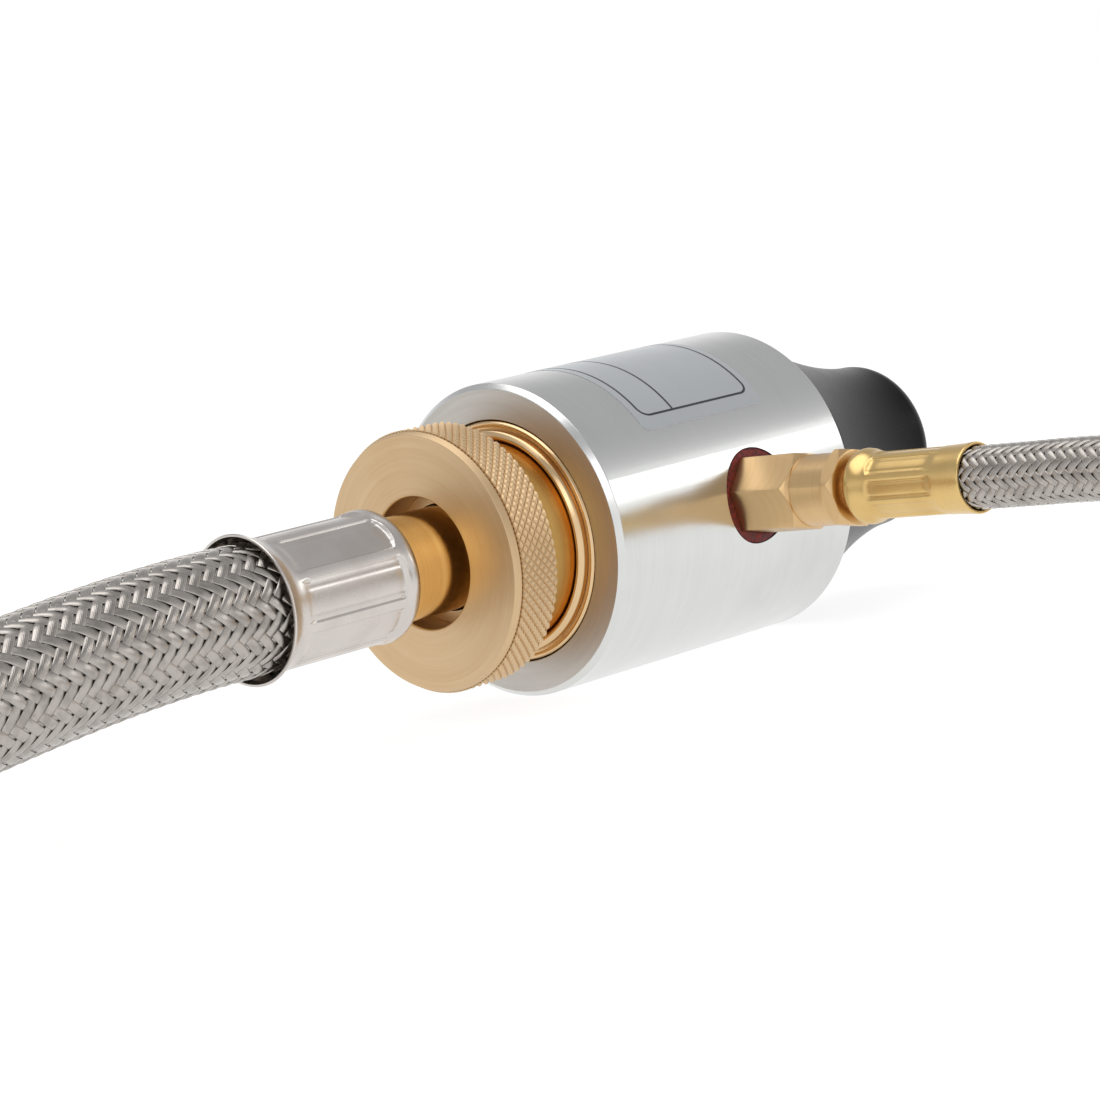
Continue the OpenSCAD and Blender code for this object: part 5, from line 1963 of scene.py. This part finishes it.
@dataclass
class Studio:
    """Camera, floor, lamps and the white surroundings."""

    camera_at: Point = (0.4735, -0.5061, 0.0961)
    right: Point = (0.70547, 0.68898, -0.16619)
    up: Point = (0.04798, 0.18752, 0.98109)
    lens: float = 121.09
    middle: Point = (-0.02, 0.0, 0.03)
    floor_size: float = 6.0
    even_light: float = 0.5
    ceiling: Colour = (0.53, 0.53, 0.54, 1.0)

    def build_camera(self) -> None:
        """Builds the camera."""
        data = bpy.data.cameras.new("camera")
        data.lens = self.lens
        data.sensor_width = 36.0
        data.clip_end = 50.0
        camera = link_object("camera", data)
        right, up = Vector(self.right).normalized(), Vector(self.up).normalized()
        back = right.cross(up).normalized()
        up = back.cross(right)
        place = Matrix((right, up, back)).transposed().to_4x4()
        place.translation = Vector(self.camera_at)
        camera.matrix_world = place
        bpy.context.scene.camera = camera

    def build_floor(self) -> None:
        """Builds a pale floor that is white to the camera and keeps a faint shadow."""
        half = self.floor_size / 2
        mesh = bpy.data.meshes.new("floor")
        mesh.from_pydata(
            [(-half, -half, 0), (half, -half, 0), (half, half, 0), (-half, half, 0)],
            [], [(0, 1, 2, 3)],
        )
        floor = link_object("floor", mesh)
        t = ShaderTree("pale_floor")
        seen = self.seen_rays(t)
        matte = t.add("BsdfDiffuse", {"Color": (0.8, 0.8, 0.8, 1.0)})
        faint = t.add("BsdfDiffuse", {"Color": (0.22, 0.22, 0.22, 1.0)})
        glow = t.add("Emission", {"Color": WHITE, "Strength": 0.9})
        bright = t.add("AddShader", {0: faint.outputs[0], 1: glow.outputs[0]})
        mixed = t.add("MixShader", {0: seen, 1: matte.outputs[0], 2: bright.outputs[0]})
        t.add("OutputMaterial", {"Surface": mixed.outputs[0]})
        mesh.materials.append(t.owner)

    def seen_rays(self, t: ShaderTree) -> bpy.types.NodeSocket:
        """Returns 1 for camera, glossy and transmission rays."""
        path = t.add("LightPath").outputs
        either = t.math("MAXIMUM", path["Is Camera Ray"], path["Is Glossy Ray"])
        return t.math("MAXIMUM", either, path["Is Transmission Ray"])

    def build_world(self) -> None:
        """Builds surroundings that are white at eye level, grey overhead and even as light."""
        t = ShaderTree("studio", world=True)
        bpy.context.scene.world = t.owner
        up = t.add("SeparateXYZ", {0: t.add("TexCoord").outputs["Generated"]}).outputs[2]
        ceiling = t.blend(t.ramp(up, 0.12, 0.62), WHITE, self.ceiling)
        seen = t.add("Background", {"Color": ceiling, "Strength": 1.0})
        even = t.add("Background", {"Color": WHITE, "Strength": self.even_light})
        mixed = t.add(
            "MixShader", {0: self.seen_rays(t), 1: even.outputs[0], 2: seen.outputs[0]}
        )
        t.add("OutputWorld", {"Surface": mixed.outputs[0]})

    def lamp(self, name: str, place: Point, size: tuple[float, float], power: float) -> None:
        """Adds a soft rectangular lamp that points at the middle of the object."""
        data = bpy.data.lights.new(name, "AREA")
        data.shape = "RECTANGLE"
        data.size, data.size_y = size
        data.energy = power
        lamp = link_object(name, data)
        lamp.location = place
        aim = Vector(self.middle) - Vector(place)
        lamp.rotation_euler = aim.to_track_quat("-Z", "Y").to_euler()

    def build_lamps(self) -> None:
        """Builds the lamps."""
        self.lamp("overhead", (-0.1, -0.1, 0.9), (0.9, 0.7), 3.2)
        self.lamp("back_right", (0.66, 0.72, 0.30), (0.4, 0.16), 0.4)
        self.lamp("front_right", (0.55, -0.75, 0.45), (0.4, 0.4), 0.7)


def build_hoses() -> tuple[Hose, Hose]:
    """Returns the plans of both hoses, with their routes in metres."""
    outlet = Hose(
        name="outlet_braid",
        diameter=0.0242,
        fall=[
            (0.0, 0.030), (0.012, 0.030), (0.026, 0.0295), (0.040, 0.0285), (0.056, 0.0269),
            (0.074, 0.0247), (0.094, 0.0221), (0.115, 0.0194), (0.137, 0.0169),
            (0.160, 0.0148), (0.184, 0.0133), (0.208, 0.0125), (0.232, 0.0122),
            (0.260, 0.0121), (0.288, 0.0121), (0.316, 0.0121),
        ],
        start=(-0.025, -0.090, 0.030),
        plan=CoilPlan(-90.0, 0.121, (150.0, 320.0), 405.0),
        braid=Braid(24, 0.0747, 0.00188, 0.00012, 0.00016, 0.01174, 0.0112),
        grip=0.012,
        squeezed=0.0110,
        near=0.300,
        nodes=("outlet_hose", "outlet_coil", "outlet_hose_ends"),
    )
    inlet = Hose(
        name="inlet_braid",
        diameter=0.0117,
        fall=[
            (0.0, 0.030), (0.012, 0.030), (0.025, 0.030), (0.0322, 0.0295), (0.0393, 0.028),
            (0.0461, 0.0255), (0.0524, 0.0221), (0.0583, 0.01793), (0.0642, 0.0138),
            (0.0705, 0.0104), (0.0773, 0.0079), (0.0844, 0.0064), (0.0916, 0.00585),
            (0.0968, 0.00585), (0.102, 0.00585),
        ],
        start=(0.058, 0.0155, 0.030),
        plan=CoilPlan(0.0, 0.059, (182.0, 342.0), 540.0),
        braid=Braid(16, 0.0346, 0.00134, 0.0001, 0.00013, 0.00561, 0.0052),
        grip=0.011,
        squeezed=0.0050,
        near=0.110,
        nodes=("inlet_hose", "inlet_coil", "inlet_hose_ends"),
    )
    return outlet, inlet


def main() -> None:
    """Builds the whole scene in order."""
    logging.basicConfig(level=logging.INFO, format="%(message)s")
    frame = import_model()
    bpy.context.scene.view_settings.view_transform = "Standard"
    studio = Studio()
    studio.build_camera()

    outlet, inlet = build_hoses()
    outlet_braid, inlet_braid = outlet.build(), inlet.build()
    far_outlet, far_inlet = outlet.end_axis(), inlet.end_axis()
    swivel, cylinder = SwivelEnd(), CylinderEnd()
    near_outlet = turned_about(REGULATOR, OutletTube.ferrule)
    near_inlet = moved_along(BRANCH, InletAdapter.nose)
    outlet_pieces = [
        Strap("outlet_strap", "outlet_tie").build(outlet),
        OUTLET_FERRULE.build("outlet_crimp", near_outlet, Finishes.stainless, "outlet_ferrule"),
        OUTLET_FERRULE.build(
            "outlet_end_crimp", turned_about(far_outlet, OUTLET_FERRULE.length),
            Finishes.stainless, "outlet_end_ferrule",
        ),
        swivel.build_nipple(far_outlet),
        swivel.build_nut(far_outlet),
    ]
    inlet_pieces = [
        Strap("inlet_strap", "inlet_tie", width=0.009).build(inlet),
        INLET_FERRULE.build("inlet_crimp", near_inlet, Finishes.yellow, "inlet_ferrule"),
        INLET_FERRULE.build(
            "inlet_end_crimp", turned_about(far_inlet, INLET_FERRULE.length),
            Finishes.yellow, "inlet_end_ferrule",
        ),
        cylinder.build_nipple(far_inlet),
        cylinder.build_nut(far_inlet),
        cylinder.build_seal(far_inlet),
    ]
    outlet.declare(outlet_braid, outlet_pieces)
    inlet.declare(inlet_braid, inlet_pieces)

    cover = Cover()
    cover.build_cover()
    cover.build_collar()
    cover.build_label()
    CouplingNut().build_body()
    OutletTube().build()
    adapter = InletAdapter()
    adapter.build()
    adapter.build_sealant()
    VentBoot().build()
    InnerRubber().build()
    InnerParts().dress(frame["nodes"])

    studio.build_floor()
    studio.build_world()
    studio.build_lamps()


if __name__ == "__main__":
    main()
